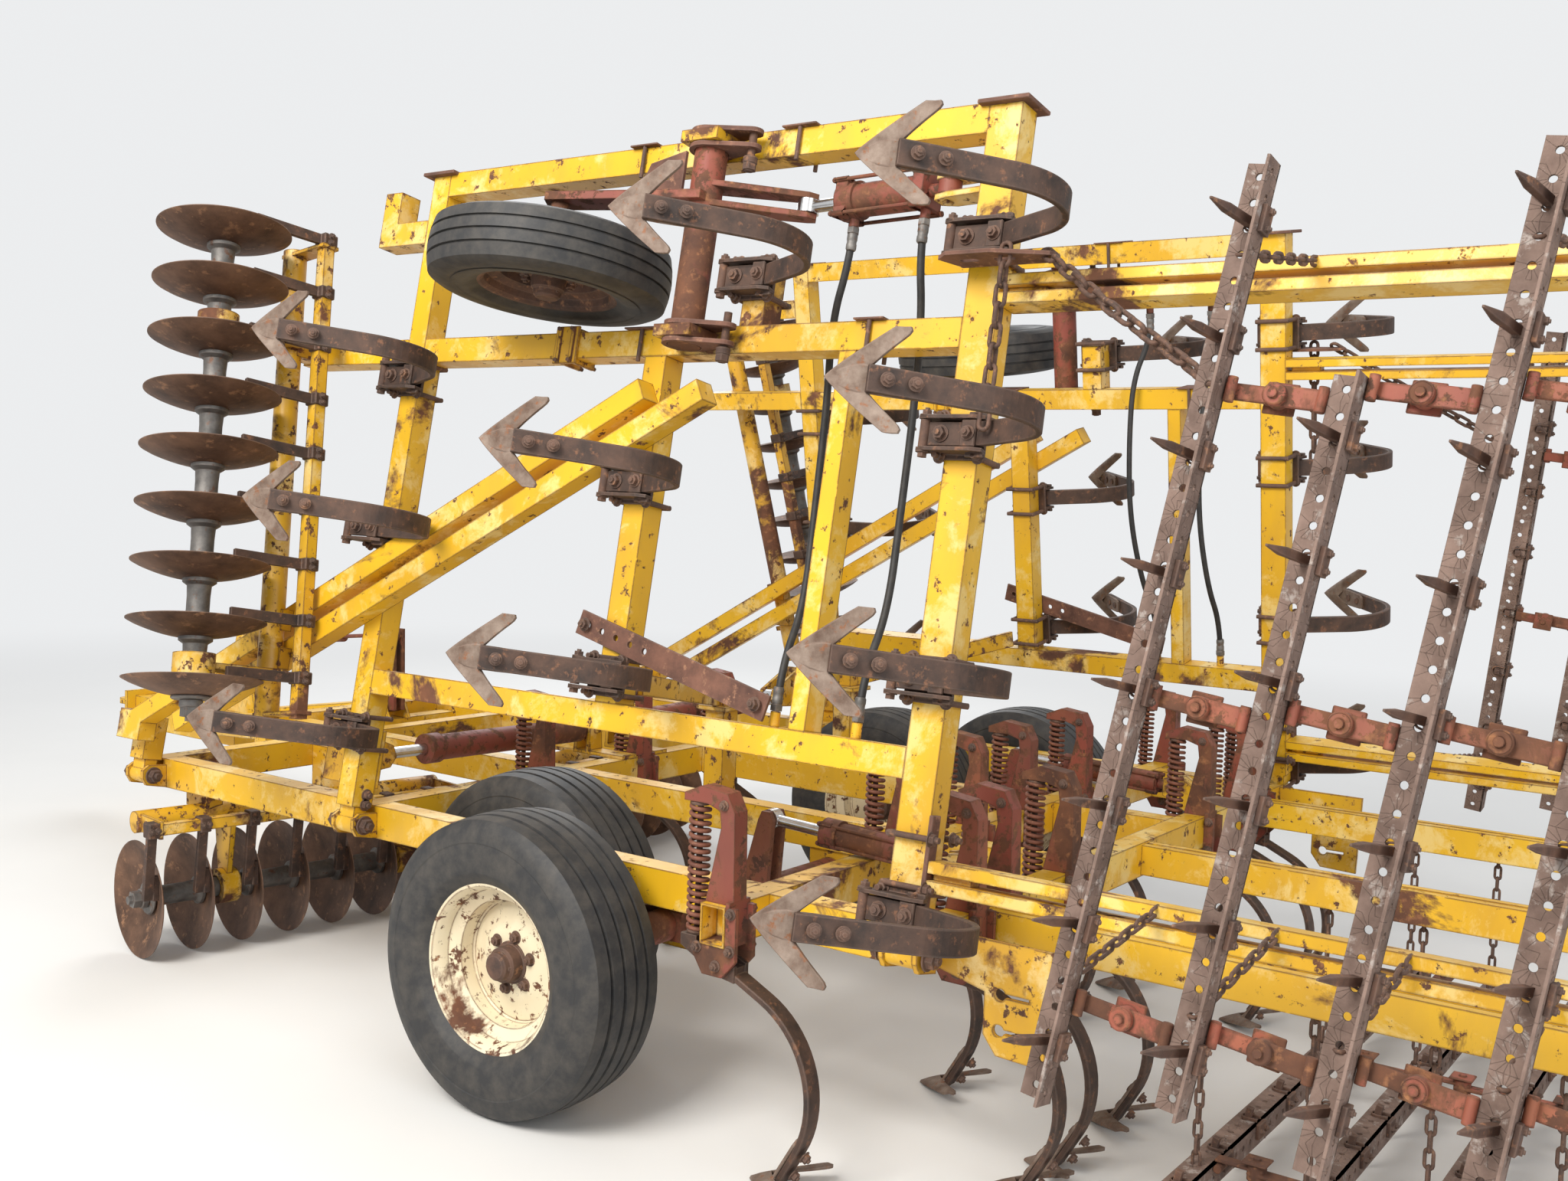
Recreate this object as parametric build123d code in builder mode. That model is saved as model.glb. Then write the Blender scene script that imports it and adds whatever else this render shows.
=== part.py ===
from build123d import *
import math
import os

# Folded mulch finisher: a towed tillage machine with a centre frame and two wings folded up.
# X points to the machine's right, Y forwards and Z up, in millimetres.
# A wing is drawn flat, with x outwards from its hinge pin, y forwards and z up, and is then folded.

os.makedirs("parts", exist_ok=True)

# Frame height, hinge line and fold
FRAME_Z = 620.0          # height of the tubes' centre line and of the hinge pins
HINGE_X = 1335.0         # hinge pins, out from the centre line
FOLD_ANGLE = 100.0       # a folded wing leans 10 degrees inwards past upright
TOOL_GAP = 2.0           # parked tools end this far above the ground

# Centre frame tubes
TUBE = 76.0              # square tube, also the width of the tall tube
TUBE_H = 102.0           # height of the centre frame's tubes
FRONT_Y = 1335.0         # front cross tube and front hinge
SECOND_Y = 210.0         # second cross tube and wing post 1
THIRD_Y = -1310.0        # third cross tube, which stands out past the rails
REAR_Y = -1785.0         # rear cross tube and wing post 4
RAIL_X = 1240.0          # outer rails
INNER_RAIL_X = 380.0     # inner rails
STUB_X = 1460.0          # ends of the third cross tube
NOSE_Y = 1790.0          # front face of the box-beam nose
PLATE = 14.0             # hinge, lug and anchor plates

# Drawbar
HITCH_Y = 3583.0
HITCH_Z = 480.0
HITCH_PIN_R = 16.5
TONGUE = 127.0
TONGUE_X = 420.0         # drawbar hinges, out from the centre line
TONGUE_Y = NOSE_Y + 60.0
CRANK = (1628.0, 705.0)      # y and z of the levelling crank's pin
CRANK_TOP = (1600.0, 1010.0)
LINK_Y = 2660.0          # pin of the drawbar's mast
LINK_Z = 900.0
PIN_R = 15.0             # hinge pins, with their eyes
EYE_R = 30.0
EYE_LENGTH = 76.0
ANCHOR_PIN_R = 13.0      # pins of the hydraulic cylinders

# Ground gear
TYRE_R = 405.0
TYRE_W = 280.0
RIM_R = 221.0
WHEEL_X = (1480.0, 1000.0)   # outer and inner wheel, out from the centre line
WHEEL_Y = (-670.0, -280.0)   # outer and inner axle
PIVOT_Y = (WHEEL_Y[0] + WHEEL_Y[1]) / 2
ROCK_Y = -950.0          # main rockshaft
ROCK_Z = 500.0
ROCK_R = 45.0
LIFT_LEVER = 235.0
LIFT_LEAN = -10.0        # the parked lever leans back by this angle
LIFT_X = 780.0           # lift cylinders, out from the centre line
LIFT_ANCHOR = (-1600.0, 700.0)

# Disc gangs
BLADE_R = 203.0
BLADE_GAP = 178.0
BLADE_DISH = 48.0
GANG_ANGLE = 9.0         # the outer end leads
SPOOL_R = 38.0
GANG_TUBE_R = 38.0
GANG_TUBE_DROP = 145.0   # below the frame's centre line
SCRAPER_BACK = 155.0     # scraper bar behind the gang tube
GANG_DROP = FRAME_Z - BLADE_R - TOOL_GAP

# Wing
POST_1 = SECOND_Y
POST_2 = -785.0
POST_3 = -1420.0
POST_4 = REAR_Y
BEAM_A = 440.0
BEAM_B = 1480.0
BEAM_C = 2015.0
WING_TIP = 2055.0
THIN = 50.0              # wing post 3
BRACE = 64.0
HALF = TUBE / 2

# Wing wheel and its rockshaft
WING_TYRE_R = 340.0
WING_TYRE_W = 175.0
WING_RIM_R = 190.0
WING_ROCK = (-930.0, -95.0)      # y and z in the flat wing
WING_AXLE = (-500.0, -205.0)
WING_WHEEL_X = 1655.0
WING_ARM_X = 1850.0
WING_LEVER_X = 1865.0
WING_LEVER_PIN = (-1170.0, 50.0)
WING_ANCHOR = (-1625.0, 15.0)
PORTS = (66.0, 291.0)            # hose ports, along the barrel from its anchor

# Hoses of the wing's lift cylinder, as points of the flat wing
HOSE_R = 10.0
HOSE_1 = ((1793, -1334.9, 37.3), (1700, -1334.9, 37.3), (1560, -1280, 75), (1330, -1275, 112),
          (1060, -1275, 122), (800, -1305, 90), (640, -1325, 0), (518, -1325, 0))
HOSE_2 = ((1793, -1559.2, 20.1), (1700, -1559.2, 20.1), (1560, -1556, 72), (1330, -1545, 112),
          (1060, -1540, 122), (800, -1560, 90), (640, -1572, 0), (518, -1572, 0))

# Fold cylinders
FOLD_Y = 385.0
FOLD_ANCHOR = (85.0, 760.0)      # x and z
FOLD_LUG = (200.0, 220.0)        # x and z in the flat wing

# Shanks
SHANK_W = 58.0
SHANK_T = 16.0
SWEEP_SPAN = 250.0
SWEEP_T = 8.0
STEM_BACK = 95.0         # from the sweep's nose back to the shank
STEM_Z = -FRAME_Z + TOOL_GAP + 0.17 * STEM_BACK + SWEEP_T / 2

# Harrow
BAR_LEG = 60.0
BAR_T = 6.0
BAR_DROP = 470.0
BAR_STEP = 254.0
BAR_COUNT = 5
BAR_FIRST = 612.0        # first bar behind the rear tube
BAR_LEAN = 7.4           # the folded bars lean back at their tops
ARM_LENGTH = 1660.0
TOOTH = 16.0
TOOTH_LENGTH = 120.0
CHAIN_R = 9.0

FOLDED = Location((HINGE_X, 0, FRAME_Z), (0, -FOLD_ANGLE, 0))


def write(part, label):
    """Label a finished piece and write its file."""
    part.label = label
    export_step(part, f"parts/{label}.step")


def write_pair(part, label):
    """Write a right-hand piece of the centre and its mirror image."""
    write(part, f"{label}_right")
    write(mirror(part, about=Plane.YZ), f"{label}_left")


def write_wing(part, label):
    """Fold a flat piece of the right wing, and write it with its mirror image."""
    write_pair(part.moved(FOLDED), label)


def box(low, high, mode=Mode.ADD):
    """Box between two opposite corners, inside the open part."""
    centre = tuple((a + b) / 2 for a, b in zip(low, high))
    with Locations(centre):
        Box(*[abs(b - a) for a, b in zip(low, high)], mode=mode)


def rod(start, end, radius, mode=Mode.ADD):
    """Round bar between two points, inside the open part."""
    run = Vector(*end) - Vector(*start)
    with BuildSketch(Plane(origin=tuple(start), z_dir=run)) as profile:
        Circle(radius)
    extrude(profile.sketch, amount=run.length, mode=mode)


def beam(start, end, width, height):
    """Square tube between two points, its width level, inside the open part."""
    run = Vector(*end) - Vector(*start)
    level = run.cross(Vector(0, 0, 1)).normalized()
    with BuildSketch(Plane(origin=start, x_dir=level, z_dir=run)) as profile:
        Rectangle(width, height)
    extrude(profile.sketch, amount=run.length)


def plate_x(points, low_x, high_x):
    """Flat plate with an outline in y and z, between two x places."""
    with BuildSketch(Plane.YZ.offset(low_x)) as profile:
        with BuildLine():
            Polyline(*points, close=True)
        make_face()
    extrude(profile.sketch, amount=high_x - low_x)


def plate_y(points, low_y, high_y):
    """Flat plate with an outline in x and z, between two y places."""
    with BuildSketch(Plane.XZ.offset(-high_y)) as profile:
        with BuildLine():
            Polyline(*points, close=True)
        make_face()
    extrude(profile.sketch, amount=high_y - low_y)


def turned(point, centre, degrees):
    """Turn a (y, z) point about a centre, positive from y towards z."""
    a = math.radians(degrees)
    y = point[0] - centre[0]
    z = point[1] - centre[1]
    return (centre[0] + y * math.cos(a) - z * math.sin(a), centre[1] + y * math.sin(a) + z * math.cos(a))


# Centre frame
with BuildPart() as cross_tubes:
    # y, half length
    for tube_y, half in ((FRONT_Y, RAIL_X + HALF), (SECOND_Y, RAIL_X + HALF),
                         (THIRD_Y, STUB_X), (REAR_Y, RAIL_X + HALF)):
        box((-half, tube_y - HALF, FRAME_Z - TUBE_H / 2), (half, tube_y + HALF, FRAME_Z + TUBE_H / 2))
        for side in (-1, 1):
            box((side * half - 60 * (side > 0), tube_y - HALF + 6, FRAME_Z - TUBE_H / 2 + 6),
                (side * half + 60 * (side < 0), tube_y + HALF - 6, FRAME_Z + TUBE_H / 2 - 6),
                mode=Mode.SUBTRACT)
write(cross_tubes.part, "cross_tubes")

with BuildPart() as rails:
    for side in (-1, 1):
        for rail_x, front in ((RAIL_X, FRONT_Y), (INNER_RAIL_X, NOSE_Y - TUBE)):
            box((side * rail_x - HALF, REAR_Y, FRAME_Z - TUBE_H / 2),
                (side * rail_x + HALF, front, FRAME_Z + TUBE_H / 2))
    for tube_y, half in ((FRONT_Y, RAIL_X + TUBE), (SECOND_Y, RAIL_X + TUBE),
                         (THIRD_Y, STUB_X), (REAR_Y, RAIL_X + TUBE)):
        box((-half, tube_y - HALF, FRAME_Z - TUBE_H), (half, tube_y + HALF, FRAME_Z + TUBE_H),
            mode=Mode.SUBTRACT)
write(rails.part, "rails")

with BuildPart() as nose_beam:
    box((-560, NOSE_Y - TUBE, FRAME_Z - 76), (560, NOSE_Y, FRAME_Z + 76))
    for side in (-1, 1):
        for low in (-48, 34):
            plate_x(((NOSE_Y, FRAME_Z - 70), (NOSE_Y, FRAME_Z + 70), (TONGUE_Y + 30, FRAME_Z + 26),
                     (TONGUE_Y + 30, FRAME_Z - 26)), side * TONGUE_X + low, side * TONGUE_X + low + PLATE)
        rod((side * TONGUE_X - 56, TONGUE_Y, FRAME_Z), (side * TONGUE_X + 56, TONGUE_Y, FRAME_Z), PIN_R)
    # Bracket of the levelling crank, on a cross member between the inner rails
    box((-INNER_RAIL_X + HALF, CRANK[0] - 40, FRAME_Z - 30),
        (INNER_RAIL_X - HALF, CRANK[0] + 40, FRAME_Z + 30))
    for low in (-60, 46):
        plate_x(((CRANK[0] - 70, FRAME_Z + 30), (CRANK[0] + 70, FRAME_Z + 30),
                 (CRANK[0] + 26, CRANK[1] + 26), (CRANK[0] - 26, CRANK[1] + 26)), low, low + PLATE)
    rod((-68, CRANK[0], CRANK[1]), (68, CRANK[0], CRANK[1]), PIN_R)
write(nose_beam.part, "nose_beam")

with BuildPart() as drawbar_arms:
    for side in (-1, 1):
        arm_x = side * TONGUE_X
        rod((arm_x - 33, TONGUE_Y, FRAME_Z), (arm_x + 33, TONGUE_Y, FRAME_Z), EYE_R)
        box((arm_x - 26, TONGUE_Y, FRAME_Z - 26), (arm_x + 26, TONGUE_Y + 90, FRAME_Z + 26))
        beam((arm_x, TONGUE_Y + 70, FRAME_Z), (side * 70, 2760, HITCH_Z + 20), TUBE, TUBE_H)
        rod((arm_x - 40, TONGUE_Y, FRAME_Z), (arm_x + 40, TONGUE_Y, FRAME_Z), PIN_R + 0.1,
            mode=Mode.SUBTRACT)
    box((-TONGUE / 2, 2640, HITCH_Z - 200), (TONGUE / 2, HITCH_Y - 130, HITCH_Z + 200), mode=Mode.SUBTRACT)
write(drawbar_arms.part, "drawbar_arms")

with BuildPart() as drawbar:
    box((-TONGUE / 2, 2640, HITCH_Z - 76), (TONGUE / 2, HITCH_Y - 130, HITCH_Z + 76))
    # Mast for the link
    for low in (-24, 10):
        plate_x(((LINK_Y - 120, HITCH_Z + 70), (LINK_Y + 120, HITCH_Z + 70), (LINK_Y + 28, LINK_Z + 28),
                 (LINK_Y - 28, LINK_Z + 28)), low, low + PLATE)
    rod((-30, LINK_Y, LINK_Z), (30, LINK_Y, LINK_Z), 12)
    # Front plate and clevis
    box((-110, HITCH_Y - 130, HITCH_Z - 105), (110, HITCH_Y - 110, HITCH_Z + 105))
    for level in (-48, 22):
        box((-60, HITCH_Y - 110, HITCH_Z + level), (60, HITCH_Y, HITCH_Z + level + 26))
        with Locations((0, HITCH_Y, HITCH_Z + level + 13)):
            Cylinder(60, 26)
    box((-60, HITCH_Y - 110, HITCH_Z - 48), (60, HITCH_Y - 90, HITCH_Z + 48))
    with Locations((0, HITCH_Y, HITCH_Z)):
        Cylinder(HITCH_PIN_R, 120, mode=Mode.SUBTRACT)
write(drawbar.part, "drawbar")

# Levelling crank on the frame, and the screw link from it to the drawbar's mast
with BuildPart() as level_crank:
    rod((-44, CRANK[0], CRANK[1]), (44, CRANK[0], CRANK[1]), EYE_R)
    for low in (-30, 16):
        plate_x(((CRANK[0] - 64, CRANK[1] - 16), (CRANK[0] + 64, CRANK[1] - 16),
                 (CRANK_TOP[0] + 28, CRANK_TOP[1] + 28), (CRANK_TOP[0] - 28, CRANK_TOP[1] + 28)),
                low, low + PLATE)
    rod((-60, CRANK[0], CRANK[1]), (60, CRANK[0], CRANK[1]), PIN_R + 0.1, mode=Mode.SUBTRACT)
write(level_crank.part, "level_crank")

with BuildPart() as level_link:
    rod((0, CRANK_TOP[0] + 20, CRANK_TOP[1]), (0, LINK_Y - 24, LINK_Z + 2), 8.5)
    rod((0, CRANK_TOP[0] + 340, CRANK_TOP[1] - 34), (0, CRANK_TOP[0] + 700, CRANK_TOP[1] - 71), 24)
    rod((-15, CRANK_TOP[0], CRANK_TOP[1]), (15, CRANK_TOP[0], CRANK_TOP[1]), 24)
    rod((-9, LINK_Y, LINK_Z), (9, LINK_Y, LINK_Z), 26)
    rod((-20, LINK_Y, LINK_Z), (20, LINK_Y, LINK_Z), 12.1, mode=Mode.SUBTRACT)
write(level_link.part, "level_link")


# Ground gear
def wheel(centre, radius, width, rim_radius, out):
    """Ribbed tyre on a dished rim; out is +1 or -1, the side that the rim's hollow faces along x."""
    half = width / 2
    with BuildPart() as turned_wheel:
        with BuildSketch(Plane.XY):
            with BuildLine():
                Polyline((-half * 0.72, rim_radius), (-half, rim_radius + 60), (-half, radius - 70),
                         (-half * 0.78, radius - 12), (-half * 0.5, radius), (half * 0.5, radius),
                         (half * 0.78, radius - 12), (half, radius - 70), (half, rim_radius + 60),
                         (half * 0.72, rim_radius), (half * 0.72, rim_radius - 30), (20, rim_radius - 46),
                         (8, 70), (42, 60), (42, 0), (-40, 0), (-40, 75), (-8, 75), (-8, rim_radius - 40),
                         (-half * 0.72, rim_radius - 22), close=True)
            make_face()
        revolve(axis=Axis.X)
    shape = turned_wheel.part
    if out < 0:
        shape = mirror(shape, about=Plane.YZ)
    return shape.moved(Location(centre))


for wheel_name, wheel_x, wheel_y, out in (("wheel_outer", WHEEL_X[0], WHEEL_Y[0], 1),
                                          ("wheel_inner", WHEEL_X[1], WHEEL_Y[1], -1)):
    write_pair(wheel((wheel_x, wheel_y, TYRE_R), TYRE_R, TYRE_W, RIM_R, out), wheel_name)

BEAM_X = (WHEEL_X[0] + WHEEL_X[1]) / 2
HUB_IN = 40.0            # the hub's inner face, from the wheel's middle
with BuildPart() as walking_beams:
    for side in (-1, 1):
        box((side * BEAM_X - 30, WHEEL_Y[0] - 45, TYRE_R - 42),
            (side * BEAM_X + 30, WHEEL_Y[1] + 45, TYRE_R + 30))
        outer_hub = WHEEL_X[0] - HUB_IN - 0.5
        inner_hub = WHEEL_X[1] + HUB_IN + 0.5
        rod((side * (BEAM_X + 25), WHEEL_Y[0], TYRE_R), (side * outer_hub, WHEEL_Y[0], TYRE_R), 34)
        rod((side * (BEAM_X - 25), WHEEL_Y[1], TYRE_R), (side * inner_hub, WHEEL_Y[1], TYRE_R), 34)
write(walking_beams.part, "walking_beams")

lever_pin = turned((ROCK_Y, ROCK_Z + LIFT_LEVER), (ROCK_Y, ROCK_Z), -LIFT_LEAN)
with BuildPart() as rockshaft:
    rod((-BEAM_X - 75, ROCK_Y, ROCK_Z), (BEAM_X + 75, ROCK_Y, ROCK_Z), ROCK_R)
    for side in (-1, 1):
        # Arm on the walking beam's inner side
        low = min(side * (BEAM_X - 60), side * (BEAM_X - 30.3))
        plate_x(((ROCK_Y - 60, ROCK_Z - 40), (ROCK_Y - 60, ROCK_Z + 40), (ROCK_Y + 60, ROCK_Z + 44),
                 (PIVOT_Y + 44, TYRE_R + 36), (PIVOT_Y + 44, TYRE_R - 36), (ROCK_Y + 60, ROCK_Z - 44)),
                low, low + 29.7)
        for low in (-35, 19):
            lever_x = side * LIFT_X + low
            plate_x(((ROCK_Y - 50, ROCK_Z), (ROCK_Y + 50, ROCK_Z), (lever_pin[0] + 26, lever_pin[1]),
                     (lever_pin[0] + 14, lever_pin[1] + 26), (lever_pin[0] - 14, lever_pin[1] + 26),
                     (lever_pin[0] - 26, lever_pin[1])), lever_x, lever_x + 16)
write(rockshaft.part, "rockshaft")


def cylinder_pair(start, end, cross, radii, necks, rod_shown, stroke, ports=()):
    """Barrel and rod of a hydraulic cylinder between two pins.

    cross is the direction of both pins, radii are those of the barrel, the rod and the eyes, necks
    are the lengths from the first pin to the barrel and of an eye, and the bore leaves room for the stroke.
    """
    start = Vector(*start)
    end = Vector(*end)
    cross = Vector(*cross)
    way = (end - start).normalized()
    mouth = start + way * ((end - start).length - rod_shown)
    barrel_r, rod_r, eye_r = radii
    neck, eye = necks
    with BuildPart() as barrel:
        rod(start + way * neck, mouth, barrel_r)
        rod(mouth - way * 55, mouth, barrel_r + 7)
        rod(start - cross * eye / 2, start + cross * eye / 2, eye_r)
        rod(start, start + way * (neck + 8), eye / 2 - 1)
        for port, side in ports:
            root = start + way * port
            rod(root, root + Vector(*side) * (barrel_r + 28), 13)
        rod(start - cross * eye, start + cross * eye, ANCHOR_PIN_R + 0.1, mode=Mode.SUBTRACT)
        rod(mouth - way * (stroke[0] + stroke[1] + 30), mouth + way, rod_r + 0.1, mode=Mode.SUBTRACT)
    with BuildPart() as piston_rod:
        rod(mouth - way * (stroke[1] + 20), end - way * 12, rod_r)
        rod(end - cross * eye / 2, end + cross * eye / 2, eye_r)
    return barrel.part, piston_rod.part


lift_barrel, lift_rod = cylinder_pair((LIFT_X, *LIFT_ANCHOR), (LIFT_X, *lever_pin), (1, 0, 0),
                                      (36.0, 17.0, 30.0), (62.0, 36.0), 190.0, (45.0, 125.0))
write_pair(lift_barrel, "lift_barrel")
write_pair(lift_rod, "lift_rod")


def folded(point):
    """Where a point of the flat right wing is when the wing is folded."""
    a = math.radians(FOLD_ANGLE)
    return (HINGE_X + point[0] * math.cos(a) - point[2] * math.sin(a), point[1],
            FRAME_Z + point[0] * math.sin(a) + point[2] * math.cos(a))


fold_barrel, fold_rod = cylinder_pair((FOLD_ANCHOR[0], FOLD_Y, FOLD_ANCHOR[1]),
                                      folded((FOLD_LUG[0], FOLD_Y, FOLD_LUG[1])), (0, 1, 0),
                                      (44.0, 19.0, 34.0), (60.0, 44.0), 190.0, (5.0, 460.0))
write_pair(fold_barrel, "fold_barrel")
write_pair(fold_rod, "fold_rod")


# Disc gangs, drawn along x with the outer end at +x
def gang(count):
    """Blades with spools between them, on one shaft."""
    first = -(count - 1) / 2 * BLADE_GAP
    with BuildPart() as discs:
        with Locations(Location((0, 0, 0), (0, 90, 0))):
            Cylinder(SPOOL_R, (count - 1) * BLADE_GAP + 120)
        for k in range(count):
            blade_x = first + k * BLADE_GAP
            with BuildSketch(Plane.XY):
                with BuildLine():
                    Polyline((blade_x, 0), (blade_x, 60), (blade_x + BLADE_DISH, BLADE_R),
                             (blade_x + BLADE_DISH - 2, BLADE_R), (blade_x - 5, 62), (blade_x - 5, 0),
                             close=True)
                make_face()
            revolve(axis=Axis.X)
    return discs.part


def gang_beam(count, hangers):
    """Gang tube, scraper bar, scrapers, end plates and bearing hangers, above the shaft at the origin."""
    first = -(count - 1) / 2 * BLADE_GAP
    half = (count - 1) / 2 * BLADE_GAP + 60
    tube_z = GANG_DROP - GANG_TUBE_DROP
    with BuildPart() as carrier:
        rod((-half, 0, tube_z), (half, 0, tube_z), GANG_TUBE_R)
        box((-half, -SCRAPER_BACK - 19, tube_z - 19), (half, -SCRAPER_BACK + 19, tube_z + 19))
        for end in (-half + 12, half - 24):
            box((end, -SCRAPER_BACK - 25, tube_z - 30), (end + 12, 30, tube_z + 30))
        for k in range(count):
            blade_x = first + k * BLADE_GAP
            plate_x(((-SCRAPER_BACK - 6, tube_z - 10), (-SCRAPER_BACK + 6, tube_z - 10),
                     (-SCRAPER_BACK + 40, 30), (-SCRAPER_BACK + 25, 25)), blade_x + 50, blade_x + 80)
        for gap_index in hangers:
            middle = first + (gap_index + 0.5) * BLADE_GAP
            plate_x(((-70, tube_z), (70, tube_z), (34, 40), (-34, 40)), middle - 10, middle + 10)
            with Locations(Location((middle, 0, 0), (0, 90, 0))):
                Cylinder(62, 70)
        with Locations(Location((0, 0, 0), (0, 90, 0))):
            Cylinder(SPOOL_R + 0.1, 3 * half, mode=Mode.SUBTRACT)
    return carrier.part


CENTRE_BLADES = 7
CENTRE_GANG_XY = (840.0, 1147.0)
CENTRE_GANG = Location((*CENTRE_GANG_XY, FRAME_Z - GANG_DROP), (0, 0, GANG_ANGLE))
write_pair(gang(CENTRE_BLADES).moved(CENTRE_GANG), "centre_gang")
right_gang_beam = gang_beam(CENTRE_BLADES, (0, 4)).moved(CENTRE_GANG)
with BuildPart() as centre_gang_beams:
    add(right_gang_beam)
    add(mirror(right_gang_beam, about=Plane.YZ))
write(centre_gang_beams.part, "centre_gang_beams")

WING_BLADES = 9
WING_GANG_XY = (1032.0, 630.0)
WING_GANG = Location((*WING_GANG_XY, -GANG_DROP), (0, 0, GANG_ANGLE))
write_wing(gang(WING_BLADES).moved(WING_GANG), "wing_gang")
write_wing(gang_beam(WING_BLADES, (0, 6)).moved(WING_GANG), "wing_gang_beam")

# Brackets of the centre frame
POST_Y = -480.0
with BuildPart() as frame_brackets:
    for side in (-1, 1):
        # Lugs and pins of the wing hinges
        gap = EYE_LENGTH / 2 + 1
        for hinge_y in (FRONT_Y, SECOND_Y, REAR_Y):
            for low in (-gap - PLATE, gap):
                plate_y(((side * (RAIL_X + HALF), FRAME_Z - 50), (side * (HINGE_X + 20), FRAME_Z - 34),
                         (side * (HINGE_X + 34), FRAME_Z - 10), (side * (HINGE_X + 34), FRAME_Z + 20),
                         (side * (HINGE_X + 10), FRAME_Z + 36), (side * (RAIL_X + HALF), FRAME_Z + 30)),
                        hinge_y + low, hinge_y + low + PLATE)
            rod((side * HINGE_X, hinge_y - gap - PLATE - 8, FRAME_Z),
                (side * HINGE_X, hinge_y + gap + PLATE + 8, FRAME_Z), PIN_R)
        # Bearings of the main rockshaft
        for bearing_x in (INNER_RAIL_X, RAIL_X - 110):
            box((side * bearing_x - 30, ROCK_Y - 75, ROCK_Z - 72),
                (side * bearing_x + 30, ROCK_Y + 75, FRAME_Z - TUBE_H / 2))
            rod((side * bearing_x - 40, ROCK_Y, ROCK_Z), (side * bearing_x + 40, ROCK_Y, ROCK_Z),
                ROCK_R + 0.1, mode=Mode.SUBTRACT)
        box((side * (RAIL_X - 140), ROCK_Y - 75, FRAME_Z - TUBE_H / 2),
            (side * (RAIL_X - HALF), ROCK_Y + 75, FRAME_Z - TUBE_H / 2 + 20))
        # Anchors of the lift cylinders
        for low in (-35, 19):
            plate_low = side * LIFT_X + low
            plate_x(((REAR_Y + HALF, FRAME_Z - 45), (REAR_Y + HALF, FRAME_Z + 50),
                     (LIFT_ANCHOR[0] - 34, LIFT_ANCHOR[1] + 40), (LIFT_ANCHOR[0] + 28, LIFT_ANCHOR[1] + 30),
                     (LIFT_ANCHOR[0] + 30, LIFT_ANCHOR[1] - 30)), plate_low, plate_low + 16)
        rod((side * LIFT_X - 41, *LIFT_ANCHOR), (side * LIFT_X + 41, *LIFT_ANCHOR), ANCHOR_PIN_R)
        # Anchors of the fold cylinders
        inner = FOLD_ANCHOR[0] - 35
        outer = FOLD_ANCHOR[0] + 40
        seat = FRAME_Z + TUBE_H / 2 + PLATE
        pin_x = side * FOLD_ANCHOR[0]
        box((side * inner, SECOND_Y - HALF, FRAME_Z + TUBE_H / 2), (side * outer, FOLD_Y + 40, seat))
        for low in (-39, 23):
            plate_y(((side * inner, seat), (side * outer, seat), (pin_x + side * 28, FOLD_ANCHOR[1] + 34),
                     (pin_x - side * 28, FOLD_ANCHOR[1] + 34)), FOLD_Y + low, FOLD_Y + low + 16)
        rod((pin_x, FOLD_Y - 45, FOLD_ANCHOR[1]), (pin_x, FOLD_Y + 45, FOLD_ANCHOR[1]), ANCHOR_PIN_R)
        # Posts of the transport locks
        box((side * INNER_RAIL_X - HALF, POST_Y - HALF, FRAME_Z + TUBE_H / 2),
            (side * INNER_RAIL_X + HALF, POST_Y + HALF, 960))
        box((side * INNER_RAIL_X - 60, POST_Y - 60, 960), (side * INNER_RAIL_X + 60, POST_Y + 60, 975))
        beam((side * (INNER_RAIL_X + 20), POST_Y, 1000), (side * 1120, POST_2 + 20, 1130), 16, 60)
        box((side * INNER_RAIL_X - 25, POST_Y - 25, 975), (side * INNER_RAIL_X + 25, POST_Y + 25, 1020))
        # Posts of the gang tubes
        way = Vector(side * math.cos(math.radians(GANG_ANGLE)), math.sin(math.radians(GANG_ANGLE)), 0)
        for post_x in (620, 1160):
            post_y = CENTRE_GANG_XY[1] + (post_x - CENTRE_GANG_XY[0]) * math.tan(math.radians(GANG_ANGLE))
            mid = Vector(side * post_x, post_y, FRAME_Z - GANG_TUBE_DROP)
            box((side * post_x - 30, post_y - 30, mid.Z + 20),
                (side * post_x + 30, FRONT_Y - HALF, FRAME_Z + 30))
            rod(tuple(mid - way * 90), tuple(mid + way * 90), GANG_TUBE_R, mode=Mode.SUBTRACT)
write(frame_brackets.part, "frame_brackets")

# Wing frame, flat
with BuildPart() as wing_posts:
    # y, section along y, low x, high x
    for post_y, section, low, high in ((POST_1, TUBE, 52, WING_TIP),
                                       (POST_2, TUBE, BEAM_A + HALF, BEAM_B - HALF),
                                       (POST_3, THIN, BEAM_A + HALF, BEAM_B - HALF),
                                       (POST_4, 90, 90, WING_TIP),
                                       (POST_4, TUBE, 52, 90),
                                       (FRONT_Y, TUBE, 52, 200)):
        box((low, post_y - section / 2, -HALF), (high, post_y + section / 2, HALF))
    for hinge_y in (POST_1, POST_4, FRONT_Y):
        rod((0, hinge_y - EYE_LENGTH / 2, 0), (0, hinge_y + EYE_LENGTH / 2, 0), EYE_R)
        box((10, hinge_y - 34, -24), (52, hinge_y + 34, 24))
        rod((0, hinge_y - 60, 0), (0, hinge_y + 60, 0), PIN_R + 0.1, mode=Mode.SUBTRACT)
write_wing(wing_posts.part, "wing_posts")

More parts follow.
